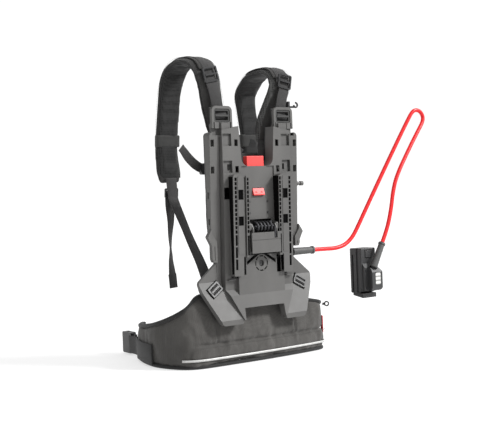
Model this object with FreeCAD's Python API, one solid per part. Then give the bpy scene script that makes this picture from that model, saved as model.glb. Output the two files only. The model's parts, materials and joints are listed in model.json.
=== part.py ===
import FreeCAD, Part
import math
import os

# Backpack carrier for a battery machine: moulded back plate with a battery dock, padded harness and hip belt,
# and a red cord that ends in a battery-shaped adapter. Millimetres.
# X is across the back, +Y points to the wearer's front, +Z is up, and the hip belt stands on Z = 0.
# Depths below are counted from the plate's flange at its top, then moved so that Y = 0 is mid-depth.

DEPTH_TO_ORIGIN = 151.4     # from the flange's front to the middle of the object's depth

# Back plate
PLATE_HALF = 108.3
PLATE_TOP = 460.0
NOTCH_HALF = 43.5
NOTCH_TOP = 473.0
NOTCH_FLOOR = 393.5
WAIST_HALF = 97.0
WALL = 3.0
TRAY_BACK = 20.0            # rear edge of the tray's side walls
FLANGE_LEAN = 0.046         # the flange runs back by this much per mm going down
PANEL_HALF = 84.3           # raised centre panel
PANEL_FRONT = -6.5
MID_HALF, LOWER_HALF = 72.5, 57.0       # the upright middle of the panel, beside the rails and below them
SLOPE_TOP = 139.0           # the panel slopes out to its toe below this
OUTER_LOW = (2.0, 150.0)    # depth and height of the foot of the panel's leaning outer zones
BAY_FRONT = -4.0            # floor of the battery bay
BAY_HALF = 40.5

# Dock rails
RAIL_INNER = 41.0
RAIL_LOW_INNER = 50.0       # inner edge below the lip
RAIL_OUTER = 73.0
RAIL_FRONT = -23.0
RAIL_TOP = 377.0
RAIL_BOTTOM = 177.2
LIP_INNER, LIP_OUTER = 37.0, 44.0
LIP_PROUD = 3.3
LIP_WALL = 1.3
LIP_SLOTS = (37.9, 42.4)
OUTER_SLOTS = (64.2, 69.6)
LIP_LOW, LIP_HIGH = 213.0, 374.0
RAIL_LEAN = 0.0375          # the rails' fronts run back by this much per mm going down
RAIL_FACE = 1.6             # thickness of their front wall

# Feet
FOOT_CORNER = (141.0, 168.0)
FOOT_TOE = (102.0, 82.0)
FOOT_HEEL = (54.0, 82.0)
FOOT_BUCKLE = (106.4, 153.0)
FOOT_BUCKLE_TURN = 33.0

# Release and latch
BUTTON_TRAVEL = 6.0
CATCH_LOW, CATCH_HIGH = 335.0, 349.0

BOSS_Z = 198.5              # round boss below the roof-shaped groove
BOSS_WELL = 16.0

# Ejector
PIN_Y, PIN_Z = -15.5, 272.5
FLAP_FRONT, FLAP_HALF = -27.0, 35.6
PIN_RADIUS = 2.5
COIL_RADIUS = 8.6
COIL_WIRE = 2.2             # radius of the spring's wire

# Carriers
CARRIER_X = 76.0
CARRIER_HALF = 24.0
CARRIER_LOW, CARRIER_HIGH = 360.0, 513.0

# Soft goods
PAD_BACK, PAD_DEPTH = 25.4, 20.6
STRAP_WIDTH, STRAP_THICK = 64.0, 15.0
RIGHT_STRAP_DROP = 14.0
RIGHT_STRAP_REACH = 24.0    # how much further forward the front of the right strap's arch lies
BELT_THICK = 16.0
BELT_LEAN = 14.0            # the belt's top edge lies this far behind its foot, at the back
BELT_SPARE = 3.0            # built this far below the floor, then cut flat
WEBBING = 25.0
WEB_THICK = 1.6

# Cord
CORD_RADIUS = 4.5
BOOT_RADIUS = 7.8
BOOT_AXIS_Y, BOOT_AXIS_Z = 16.0, 214.5
BOOT_START = 97.2
LEAD_RADIUS = 2.6           # the lead inside the tray
ADAPTER_BOOT = 60.0


# ---------------------------------------------------------------- helpers

def vec(x, y, z):
    return FreeCAD.Vector(x, y, z)


PLANES = {
    "xy": lambda u, v, w: vec(u, v, w),
    "xz": lambda u, v, w: vec(u, w, v),
    "yz": lambda u, v, w: vec(w, u, v),
}


def rounded_wire(corners, radius):
    """Closed wire through the corners, each rounded by radius, or by its own entry of a list."""
    count = len(corners)
    radii = radius if isinstance(radius, list) else [radius] * count
    joints = []
    for i, corner in enumerate(corners):
        back = (corners[i - 1] - corner).normalize()
        ahead = (corners[(i + 1) % count] - corner).normalize()
        half = back.getAngle(ahead) / 2
        reach = radii[i] / math.tan(half)
        middle = (back + ahead).normalize() * (radii[i] / math.sin(half) - radii[i])
        joints.append((corner + back * reach, corner + middle, corner + ahead * reach))
    edges = []
    for i, (first, middle, last) in enumerate(joints):
        if radii[i] > 0:
            edges.append(Part.Arc(first, middle, last).toShape())
        following = joints[(i + 1) % count][0]
        if last.distanceToPoint(following) > 1e-5:
            edges.append(Part.LineSegment(last, following).toShape())
    return Part.Wire(edges)


def prism(plane, points, low, high, radius=0):
    """Extrude an outline given in one plane along the third axis, from low to high."""
    put = PLANES[plane]
    wire = rounded_wire([put(u, v, low) for u, v in points], radius)
    return Part.Face(wire).extrude(put(0, 0, high - low))


def rectangle(u0, u1, v0, v1):
    return [(u0, v0), (u1, v0), (u1, v1), (u0, v1)]


def block(x0, x1, y0, y1, z0, z1, radius=0):
    """Box between its low and high corners, with every edge rounded when a radius is given."""
    shape = Part.makeBox(x1 - x0, y1 - y0, z1 - z0, vec(x0, y0, z0))
    return shape.makeFillet(radius, shape.Edges) if radius else shape


def rod(start, direction, radius, length):
    return Part.makeCylinder(radius, length, start, direction)


def joined(shapes):
    return shapes[0].fuse(shapes[1:]).removeSplitter() if len(shapes) > 1 else shapes[0]


def without(shape, tools):
    return shape.cut(tools).removeSplitter()


def mirrored(shape):
    return shape.mirror(vec(0, 0, 0), vec(1, 0, 0))


def both_sides(points):
    """Close a right half outline, listed from the top down, with its mirror image."""
    return points + [(-u, v) for u, v in reversed(points)]


def turned(shape, angle, centre, axis):
    copy = shape.copy()
    copy.rotate(centre, axis, angle)
    return copy


def inset(plane, points, low, high, margin, radius=0):
    """Like prism, with the outline moved inwards by a margin."""
    put = PLANES[plane]
    wire = rounded_wire([put(u, v, low) for u, v in points], radius)
    smaller = Part.Face(wire).makeOffset2D(-margin, 2)
    return smaller.extrude(put(0, 0, high - low))


def band(stations, thickness):
    """Flat band lofted through stations of (point, direction across, width)."""
    wires = []
    last = len(stations) - 1
    for i, (point, across, width) in enumerate(stations):
        ahead = stations[min(i + 1, last)][0] - stations[max(i - 1, 0)][0]
        side = (across * 1.0).normalize()
        normal = side.cross(ahead).normalize()
        half = side * (width / 2)
        rise = normal * (thickness / 2)
        corners = [point - half - rise, point + half - rise, point + half + rise, point - half + rise]
        wires.append(Part.makePolygon(corners + [corners[0]]))
    return Part.makeLoft(wires, True, False)


def coil(radius, wire, pitch, height, base, axis):
    """Helical spring from base along axis."""
    helix = Part.makeHelix(pitch, height, radius)
    start = helix.Edges[0].valueAt(helix.Edges[0].FirstParameter)
    tangent = helix.Edges[0].tangentAt(helix.Edges[0].FirstParameter)
    section = Part.Wire([Part.makeCircle(wire, start, tangent)])
    shape = Part.Wire(helix.Edges).makePipeShell([section], True, True)
    shape.Placement = FreeCAD.Placement(base, FreeCAD.Rotation(vec(0, 0, 1), axis))
    return shape


def spline_points(points, count):
    curve = Part.BSplineCurve()
    curve.interpolate(points)
    return curve.discretize(Number=count)


def ladder(width, height, depth, slots):
    """Flat webbing buckle: a rounded frame with slots across it. Width along X, height along Y."""
    frame = prism("xy", rectangle(-width / 2, width / 2, -height / 2, height / 2), 0, depth, 3)
    edge = 3.2
    inner = width / 2 - edge
    pitch = (height - edge) / slots
    holes = []
    for i in range(slots):
        low = -height / 2 + edge + i * pitch
        holes.append(block(-inner, inner, low, low + pitch - edge, -1, depth + 1))
    bar = block(-inner, inner, -height / 2 + edge + pitch - edge - 0.2, -height / 2 + edge + pitch + 0.2,
                depth * 0.3, depth * 1.25)
    return joined([without(frame, holes), bar])


def placed(shape, origin, x_axis, y_axis):
    """Put a local shape at origin with its X and Y along the given directions."""
    x_unit = (x_axis * 1.0).normalize()
    z_unit = x_unit.cross(y_axis).normalize()
    y_unit = z_unit.cross(x_unit)
    copy = shape.copy()
    copy.Placement = FreeCAD.Placement(origin, FreeCAD.Rotation(x_unit, y_unit, z_unit, "ZXY"))
    return copy


def screw(centre, direction, head=3.4, shank=0.0):
    """Pan-head screw with a cross recess, seated at centre; direction points out of the head."""
    body = rod(centre, direction, head, 2.0)
    if shank > 0:
        body = body.fuse(rod(centre - direction * shank, direction, head * 0.45, shank + 0.5)).removeSplitter()
    side = direction.cross(vec(0, 0, 1)) if abs(direction.z) < 0.5 else vec(1, 0, 0)
    up = direction.cross(side)
    cuts = []
    for a, b in ((side, up), (up, side)):
        bar = Part.makeBox(head * 1.1, head * 0.3, 4, vec(-head * 0.55, -head * 0.15, -2))
        cuts.append(placed(bar, centre + direction * 3.2, a, b))
    return without(body, cuts)


def save(name, shape):
    shape = shape.copy()
    shape.translate(vec(0, -DEPTH_TO_ORIGIN, 0))
    if not shape.isValid():
        print("INVALID", name)
    shape.exportStep("parts/" + name + ".step")


def save_pair(name, right_shape):
    save(name + "_right", right_shape)
    save(name + "_left", mirrored(right_shape))


def save_group(name, right_shape):
    """A pair of like pieces that never move apart shares one node."""
    save(name, Part.makeCompound([right_shape, mirrored(right_shape)]))


# ---------------------------------------------------------------- back plate

def flange_front(z):
    return FLANGE_LEAN * (PLATE_TOP - z)


def behind_flange(gap):
    """Space behind the leaning flange surface, moved back by a gap."""
    return prism("yz", [(flange_front(60) + gap, 60), (flange_front(500) + gap, 500), (60, 500), (60, 60)],
                 -160, 160)


FLANGE_OUTLINE = both_sides([
    (NOTCH_HALF, NOTCH_TOP),
    (PANEL_HALF, PLATE_TOP + 5),
    (PLATE_HALF, PLATE_TOP),
    (PLATE_HALF, 262),
    (WAIST_HALF, 246),
    (WAIST_HALF, 150),
])
FLANGE_ROUNDS = [1.5, 0, 8, 4, 4, 0]
FLANGE_ROUNDS = FLANGE_ROUNDS + FLANGE_ROUNDS[::-1]


def notch_space(grow):
    """The U-shaped cut-out at the top of the plate, grown by a margin."""
    points = [(-38 - grow, NOTCH_FLOOR - grow), (38 + grow, NOTCH_FLOOR - grow),
              (NOTCH_HALF + grow, NOTCH_TOP), (NOTCH_HALF + grow, 520),
              (-NOTCH_HALF - grow, 520), (-NOTCH_HALF - grow, NOTCH_TOP)]
    return prism("xz", points, -60, 80, [16, 16, 0, 0, 0, 0])


PANEL_OUTLINE = both_sides([
    (NOTCH_HALF, NOTCH_TOP),
    (PANEL_HALF, PLATE_TOP + 5),
    (PANEL_HALF, 152),
    (53, 90),
    (49.5, 90),
    (49, 113),
])

def panel_side(deeper, back):
    """Side view of the panel's middle and of its outer zones, moved in from the front by a wall's thickness."""
    front = PANEL_FRONT + deeper
    toe = [(front, SLOPE_TOP), (-16 + deeper, 90), (-16 + deeper, 80 - deeper * 3), (back, 80 - deeper * 3), (back, 500)]
    middle = [(front, 500)] + toe
    outer = [(front, 500), (front, RAIL_TOP), (OUTER_LOW[0] + deeper, OUTER_LOW[1])] + toe
    return middle, outer


def panel_body(margin, deeper, back):
    """The raised panel as a solid, or the space inside it when a margin is given."""
    middle, outer = panel_side(deeper, back)
    outline = inset("xz", PANEL_OUTLINE, -40, 60, margin) if margin else prism("xz", PANEL_OUTLINE, -40, 60)
    half, low_half = MID_HALF - margin, LOWER_HALF - margin
    step = RAIL_BOTTOM - 0.2 - margin
    mid_outline = [(half, 520), (half, step), (low_half, step), (low_half, 60),
                   (-low_half, 60), (-low_half, step), (-half, step), (-half, 520)]
    mid = prism("yz", middle, -160, 160).common(prism("xz", mid_outline, -60, 80))
    return outline.common(mid.fuse(prism("yz", outer, -160, 160)))

FOOT_OUTLINE = [(PANEL_HALF - 4, 205), (WAIST_HALF, 205), FOOT_CORNER, (135, 148), FOOT_TOE, FOOT_HEEL,
                (49, 113), (PANEL_HALF - 14, 150)]
FOOT_ROUNDS = [0, 5, 8, 10, 9, 4, 0, 0]
FOOT_SIDE = [(12.5, 230), (13, 168), (-13, 92), (-13, 70), (-2, 70), (-2, 84), (TRAY_BACK, 150), (TRAY_BACK, 230)]


def foot():
    """Right foot: a sloping tray that runs from the waist's set-back edge out to the proud toe."""
    shell = prism("xz", FOOT_OUTLINE, -40, 60, FOOT_ROUNDS).common(prism("yz", FOOT_SIDE, 0, 160))
    hollow_side = [(16.5, 230), (17, 168), (-9, 92), (-9, 70), (60, 70), (60, 230)]
    hollow = inset("xz", FOOT_OUTLINE, -40, 60, WALL).common(prism("yz", hollow_side, 0, 160))
    window = on_foot(block(-16.8, 16.8, -12.3, 12.3, -30, 30))
    return without(shell, [hollow, window])


def on_foot(shape):
    """Put a local shape on the right foot's slope, turned as the tri-glide lies."""
    x, z = FOOT_BUCKLE
    (y_top, z_top), (y_low, z_low) = FOOT_SIDE[1], FOOT_SIDE[2]
    slope = (y_top - y_low) / (z_top - z_low)
    uphill = vec(0, slope, 1).normalize()
    turn = math.radians(FOOT_BUCKLE_TURN)
    along = vec(1, 0, 0) * math.cos(turn) - uphill * math.sin(turn)
    across = vec(1, 0, 0) * math.sin(turn) + uphill * math.cos(turn)
    return placed(shape, vec(x, y_top - (z_top - z) * slope, z), along, across)


def slot(x0, x1, z0, z1, y0=-30.0, y1=8.0):
    return block(x0, x1, y0, y1, z0, z1)


def plate_openings():
    """Windows, slots and seats on the right half; they are mirrored to the left."""
    cuts = []
    for z in (387.5, 440.0):
        cuts.append(slot(98.3, 106.3, z - 6.75, z + 6.75))
        cuts.append(slot(46.6, 54.8, z - 6.5, z + 6.5))
    for low, high in ((434, 458), (381, 405), (329, 352)):
        cuts.append(slot(62, 83, low, high))
    for z in (286, 338):
        cuts.append(block(100, 120, 12, 16.5, z - 6, z + 6))
    cuts.append(block(51, 101.2, -3.6, 13.6, 455, 500))
    cuts.append(block(38.5, 49.6, -30, 2, 178, 214.5))
    return cuts


def back_plate():
    flange = prism("xz", FLANGE_OUTLINE, -10, TRAY_BACK, FLANGE_ROUNDS).common(behind_flange(0))
    flange_hollow = inset("xz", FLANGE_OUTLINE, -10, 60, WALL).common(behind_flange(WALL))
    panel_hollow = panel_body(WALL, WALL, 60)
    shell = joined([flange, panel_body(0, 0, TRAY_BACK)])
    shell = without(shell, [flange_hollow, panel_hollow, notch_space(0)])
    notch_wall = notch_space(WALL).cut(notch_space(0))
    notch_wall = notch_wall.common(prism("yz", [(PANEL_FRONT, 350), (TRAY_BACK, 350), (TRAY_BACK, 474),
                                                (PANEL_FRONT, 474)], -46.5, 46.5))
    notch_wall = notch_wall.common(prism("xz", PANEL_OUTLINE, -40, 60))
    foot_right = foot()
    bay = block(-BAY_HALF, BAY_HALF, PANEL_FRONT - 1, BAY_FRONT, 218, 393.6)
    bay_backing = block(-BAY_HALF - 2, BAY_HALF + 2, PANEL_FRONT + 1, BAY_FRONT + WALL, 190, 392)
    shell = joined([shell, notch_wall, bay_backing, foot_right, mirrored(foot_right)])
    panel_groove = block(84.6, 87.2, -30, 30, 156, 452).cut(behind_flange(2.2))
    cuts = [bay, panel_groove, mirrored(panel_groove)]
    for cut in plate_openings():
        cuts.append(cut)
        cuts.append(mirrored(cut))
    cuts.append(block(-38, 38, -30, 6, 216, 262))                       # flap and terminal window
    cuts.append(block(-30.5, 30.5, -30, 6, 259, 287))                   # spring window
    cuts.append(block(-14.2, 14.2, -30, 6, CATCH_LOW - 1, CATCH_HIGH + 1))
    cuts.append(block(-21.7, 21.7, 0.1, 15, 383, 397))                  # button well in the notch's floor
    roof = [(-36, 197), (-4, 217.5), (4, 217.5), (36, 197), (36, 204), (4, 224.5), (-4, 224.5), (-36, 204)]
    cuts.append(prism("xz", roof, -30, 1))
    shell = without(shell, cuts)
    lugs = []
    for x0, x1 in ((30.6, 35.6), (-35.6, -30.6)):
        lug = prism("yz", [(PIN_Y - 5, 265), (BAY_FRONT + 1, 264), (BAY_FRONT + 1, 283), (PIN_Y - 5, 280)], x0, x1,
                    [4, 0, 0, 4])
        lugs.append(without(lug, [rod(vec(-40, PIN_Y, PIN_Z), vec(1, 0, 0), PIN_RADIUS, 80)]))
    boss = rod(vec(0, PANEL_FRONT, BOSS_Z), vec(0, 1, 0), BOSS_WELL + 2.1, WALL + 6)
    well = rod(vec(0, -30, BOSS_Z), vec(0, 1, 0), BOSS_WELL, 29)
    ledge = block(-9, 9, BAY_FRONT + 1, 16, 289.5, 295.5)
    ribs = []
    for x in (-26, 26):
        ribs.append(block(x - 1, x + 1, BAY_FRONT + 1, 17, 296, 376))
    for x0, x1 in ((63, 80), (-80, -63)):
        ribs.append(block(x0, x1, PANEL_FRONT + 1, 15, 169, 171))
    shell = without(joined([shell] + lugs + [boss, ledge] + ribs), [well])
    behind_toes = prism("yz", [(-2, 60), (-2, 84), (TRAY_BACK, 150), (80, 150), (80, 60)], -160, 160)
    return without(shell, [notch_space(0), behind_toes])


def rail_front(z):
    return RAIL_FRONT + RAIL_LEAN * (RAIL_TOP - z)


def behind_rail(gap):
    """Space behind a rail's leaning front, moved back by a gap and ending on the panel."""
    low, high = 150, 380
    return prism("yz", [(rail_front(low) + gap, low), (rail_front(high) + gap, high), (PANEL_FRONT, high),
                        (PANEL_FRONT, low)], 30, 80)


def rail_layer(plan, front, back, radius=0):
    """Part of a rail between two depths behind its leaning front."""
    return prism("xz", plan, -60, 10, radius).common(behind_rail(front)).cut(behind_rail(back))


def rail_plan(margin):
    """Outline of a rail seen from the front, wider above the foot of its lip."""
    low_inner, inner, outer = RAIL_LOW_INNER + margin, RAIL_INNER + margin, RAIL_OUTER - margin
    low, high, step = RAIL_BOTTOM + margin, RAIL_TOP - margin, LIP_LOW + 2 + margin
    return [(low_inner, low), (outer, low), (outer, high), (inner, high), (inner, step), (low_inner, step)]


def dock_rail():
    """Right rail: a leaning front wall, open at its sides, with a proud slotted lip towards the bay."""
    body = rail_layer(rail_plan(0), 0, 40, [2, 2, 6, 6, 0, 2])
    hollow = rail_layer(rail_plan(2.5), RAIL_FACE, 40)
    lip_plan = rectangle(LIP_INNER, LIP_OUTER, LIP_LOW, LIP_HIGH)
    lip = rail_layer(lip_plan, -LIP_PROUD, RAIL_FACE)
    lip_hollow = rail_layer(rectangle(LIP_INNER - 1, LIP_OUTER - 1.2, LIP_LOW + 1.5, LIP_HIGH - 1.5),
                            LIP_WALL - LIP_PROUD, RAIL_FACE + 1)
    strip = rail_layer(rectangle(48.5, 62.5, RAIL_BOTTOM + 42, RAIL_TOP - 3), -0.8, 1, [1, 1, 4, 4])
    gap = rail_layer(rectangle(LIP_OUTER, LIP_OUTER + 1.8, LIP_LOW + 4, LIP_HIGH - 3), -5, 4)
    cuts = [hollow, lip_hollow, gap]
    sides = ((RAIL_INNER - 6, RAIL_LOW_INNER + 2.6, RAIL_BOTTOM + 3.8, LIP_LOW - 0.5),
             (RAIL_INNER - 6, RAIL_INNER + 2.6, LIP_LOW + 5, RAIL_TOP - 4),
             (RAIL_OUTER - 2.6, RAIL_OUTER + 1, RAIL_BOTTOM + 3.8, RAIL_TOP - 4))
    for x0, x1, z0, z1 in sides:
        cuts.append(rail_layer(rectangle(x0, x1, z0, z1), RAIL_FACE, 40))

    def opening(x0, x1, z0, z1):
        cuts.append(block(x0, x1, RAIL_FRONT - LIP_PROUD - 2, PANEL_FRONT - 1, z0, z1))

    for row in range(13):
        z = 371.0 - 8.6 * row
        opening(*OUTER_SLOTS, z - 6.6, z)
        opening(*LIP_SLOTS, z - 6.6, z)
    opening(*LIP_SLOTS, 217, 256)
    for row in range(3):
        z = 258.6 - 24.0 * row
        opening(*OUTER_SLOTS, z - 21, z)
    for low, high in ((327.5, 347), (276.5, 294.5)):
        opening(49.0, 61.5, low, high)
    return without(joined([body, strip, lip]), cuts)


def rail_liner():
    """Black core that fills the right rail and shows through its slots, windows and open sides."""
    core = rail_layer(rail_plan(3.2), RAIL_FACE + 0.3, 40)
    outer = rail_layer(rectangle(RAIL_OUTER - 4, RAIL_OUTER - 0.4, RAIL_BOTTOM + 4.1, RAIL_TOP - 4.3), RAIL_FACE + 0.3, 40)
    low_inner = rail_layer(rectangle(RAIL_LOW_INNER + 0.4, RAIL_LOW_INNER + 4, RAIL_BOTTOM + 4.1, LIP_LOW - 0.8),
                           RAIL_FACE + 0.3, 40)
    inner = rail_layer(rectangle(LIP_INNER + 0.3, RAIL_INNER + 4, LIP_LOW + 5.3, RAIL_TOP - 4.3), RAIL_FACE + 0.3, 40)
    lip = rail_layer(rectangle(LIP_INNER + 0.3, LIP_OUTER - 1.5, LIP_LOW + 5.3, LIP_HIGH - 4.6),
                     LIP_WALL + 0.3 - LIP_PROUD, RAIL_FACE + 1)
    return joined([core, outer, low_inner, inner, lip])


def plate_nodes():
    save("back_plate", back_plate())
    save_pair("dock_rail", dock_rail())
    save_group("rail_liners", rail_liner())
    cap = [rod(vec(0, -6.2, BOSS_Z), vec(0, 1, 0), BOSS_WELL - 2.7, 5.1)]
    bridge = block(BOSS_WELL - 3.8, BOSS_WELL - 0.1, -6.2, -1.2, BOSS_Z - 1.3, BOSS_Z + 1.3)
    for i in range(8):
        cap.append(turned(bridge, 22.5 + 45 * i, vec(0, 0, BOSS_Z), vec(0, 1, 0)))
    save("boss_cap", without(joined(cap), [rod(vec(0, -9, BOSS_Z), vec(0, 1, 0), 6.4, 9)]))
    spots = [(-22.5, 300), (22.5, 300), (-22.5, 322), (22.5, 322)]
    screws = [screw(vec(x, BAY_FRONT, z), vec(0, -1, 0), 1.7) for x, z in spots]
    screws.append(screw(vec(0, -1.0, BOSS_Z), vec(0, -1, 0), 4.8))
    save("side_clips", Part.makeCompound([side_clip(227), mirrored(side_clip(206.5))]))
    tri = ladder(30, 21, 3.6, 2)
    tri.translate(vec(0, 0, -2.0))
    save_group("foot_triglides", on_foot(tri))
    rear = prism("xz", FLANGE_OUTLINE, TRAY_BACK, TRAY_BACK + 3, FLANGE_ROUNDS)
    save("rear_cover", without(rear, [notch_space(0)]))
    hole = rod(vec(60, BOOT_AXIS_Y, BOOT_AXIS_Z), vec(1, 0, 0), LEAD_RADIUS, 50)
    save("cord_gland", without(block(86, 93.8, 14.8, 19.8, 208, 224), [hole]))
    spots = [(-90, 420), (90, 420), (-90, 300), (90, 300), (-70, 165), (70, 165)]
    back = TRAY_BACK + 3
    screws = screws + [screw(vec(x, back, z), vec(0, 1, 0), 3.0) for x, z in spots]
    save("plate_screws", Part.makeCompound(screws))


def side_clip(low):
    """Wedge-shaped clip on the right of the waist, from a low edge up to its pointed lever."""
    outline = [(98.0, low), (107, low), (110, low + 7), (110, 240), (119, 257), (109.0, 272), (109.0, 263),
               (98.0, 247)]
    body = prism("xz", outline, 5, 15, [0, 3, 3, 3, 2, 0, 0, 0])
    return without(body, [block(103, 104.4, 4, 6.4, low + 4, 238)])


# ---------------------------------------------------------------- dock: ejector, terminals, release and latch

def dock_nodes():
    save("ejector_pin", rod(vec(-35.6, PIN_Y, PIN_Z), vec(1, 0, 0), PIN_RADIUS, 71.2))
    back = FLAP_FRONT + WALL
    flap = prism("xz", rectangle(-FLAP_HALF, FLAP_HALF, 220, 261), FLAP_FRONT, back, 2)
    arms = []
    for x0, x1 in ((27.9, 30.2), (-30.2, -27.9)):
        arm = prism("yz", [(back, 257), (-13, 257), (PIN_Y + 5, PIN_Z), (PIN_Y + 3, 278), (PIN_Y - 3, 278), (back, 268)],
                    x0, x1)
        arms.append(without(arm, [rod(vec(-40, PIN_Y, PIN_Z), vec(1, 0, 0), PIN_RADIUS + 0.06, 80)]))
    leg_notch = block(20.0, 27.6, -40, 0, 248.5, 262)
    groove = block(-40, 40, -40, FLAP_FRONT + 0.9, 245.4, 246.8)
    save("ejector_flap", without(joined([flap] + arms), [leg_notch, groove]))
    spring = coil(COIL_RADIUS, COIL_WIRE, 8.4, 46, vec(-23.6, PIN_Y, PIN_Z), vec(1, 0, 0))
    leg = rod(vec(23.8, PIN_Y - COIL_RADIUS, PIN_Z - 1), vec(0, 0, -1), COIL_WIRE, 21.5)
    save("ejector_spring", spring.fuse(leg))
    housing = block(-33, 33, 2, 15, 218, 258)
    save("terminal_block", without(housing, [block(x - 2.2, x + 2.2, 1, 11, 222, 250) for x in TERMINAL_X]))
    blades = [block(x - 0.6, x + 0.6, 5.6, 11, 224, 248) for x in TERMINAL_X]
    save("terminal_blades", Part.makeCompound(blades))
    button = block(-21, 21, 0.5, 14, 386, 414, 1.2)
    save("release_button", button)
    catch = prism("yz", [(-9, 337), (-5, CATCH_HIGH), (8, CATCH_HIGH), (8, CATCH_LOW), (-9, CATCH_LOW)],
                  -13.5, 13.5, [1, 0, 0, 0, 0])
    dents = [rod(vec(x, -12.5, 340), vec(0.0, 0, 1), 5.5, 20) for x in (-7, 7)]
    pins = rod(vec(-19.6, 4.5, 342), vec(1, 0, 0), 1.5, 39.2)
    save("latch_catch", joined([without(catch, dents), pins]))
    bars = []
    for x0, x1 in ((16.3, 20), (-20, -16.3)):
        bars.append(block(x0, x1, 1.5, 14, 320, 385.8))
    yoke = joined(bars + [block(-20, 20, 1.5, 14, 318, 324)])
    cam = prism("yz", cam_slot(4.5, 342, BUTTON_TRAVEL, 1.75), -30, 30)
    save("latch_slider", without(yoke, [cam]))
    save("latch_spring", coil(4.6, 0.6, 3.2, 20.6, vec(0, 8, 296.4), vec(0, 0, 1)))


TERMINAL_X = [-18, -6, 6, 18]


def cam_slot(y, z, travel, radius):
    """Slanted slot that turns the slider's drop into the catch's travel."""
    steps = []
    for i in range(9):
        a = math.radians(135 + 22.5 * i)
        steps.append((y + radius * math.cos(a), z + radius * math.sin(a)))
    for i in range(9):
        a = math.radians(315 + 22.5 * i)
        steps.append((y + travel + radius * math.cos(a), z + travel + radius * math.sin(a)))
    return steps


# ---------------------------------------------------------------- height carriers

def carrier():
    """Right carrier: a tongue that slides in the tray, with an open frame above the plate."""
    x0, x1 = CARRIER_X - CARRIER_HALF, CARRIER_X + CARRIER_HALF
    tongue = prism("xz", rectangle(x0 + 0.6, x1 - 0.6, CARRIER_LOW, 474), 8.2, 12.6, [4, 4, 0, 0])
    neck = prism("xz", rectangle(x0, x1, 469, CARRIER_HIGH), 1.5, 12.6, [0, 0, 10, 10])
    window = prism("xz", rectangle(x0 + 5, x1 - 5, 481, 507.5), -10, 30, 5)
    behind = block(x0 - 1, x1 + 1, 8.8, 30, 478, CARRIER_HIGH + 5)
    rib = block(60.6, 80.6, -1.6, 9, CARRIER_LOW + 4, 480)
    cuts = [window, behind, block(60, 71, -2, 6, 386, 398), block(81.8, 84.6, 0, 3, 462, 482)]
    for x in (CARRIER_X - 19.5, CARRIER_X + 19.5):
        cuts.append(block(x - 1.2, x + 1.2, 0, 7, 465, 481.5))
    return without(joined([tongue, neck, rib]), cuts)


def carrier_nodes():
    save_pair("carrier", carrier())
    tri = placed(ladder(36.5, 25, 4, 2), vec(CARRIER_X, 7.0, 494.2), vec(1, 0, 0), vec(0, 0, 1))
    save_pair("carrier_triglide", tri)


# ---------------------------------------------------------------- pads, straps and webbing

def strap_route(drop, reach):
    """Middle of the shoulder pad, from its root behind the plate over the shoulder and down the chest."""
    points = [(56, 41, 441.5), (62, 42, 478), (74, 38, 515), (84, 31, 548), (91, 28, 574), (94, 41, 597),
              (97, 68, 607), (100, 98, 606), (102, 125, 592), (104, 143, 562), (105, 153, 520), (106, 160, 470),
              (106, 163, 420), (105, 158, 366)]
    moved = []
    for x, y, z in points:
        share = min(max((z - 515) / 92, 0), 1)
        front = max(0, 1 - abs(z - 562) / 92) if y > 90 else 0
        moved.append(vec(x, y + reach * front, z - drop * share))
    return moved


def shoulder_pad(drop, reach):
    stations = []
    spine = spline_points(strap_route(drop, reach), 26)
    for i, point in enumerate(spine):
        width = STRAP_WIDTH
        if i > 22:
            width = STRAP_WIDTH - 6 * (i - 22)
        stations.append((point, vec(1, 0, 0), width))
    return band(stations, STRAP_THICK)


def webbing(points, across, width=WEBBING, thick=WEB_THICK):
    return band([(vec(*p), across, width) for p in points], thick)


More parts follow.
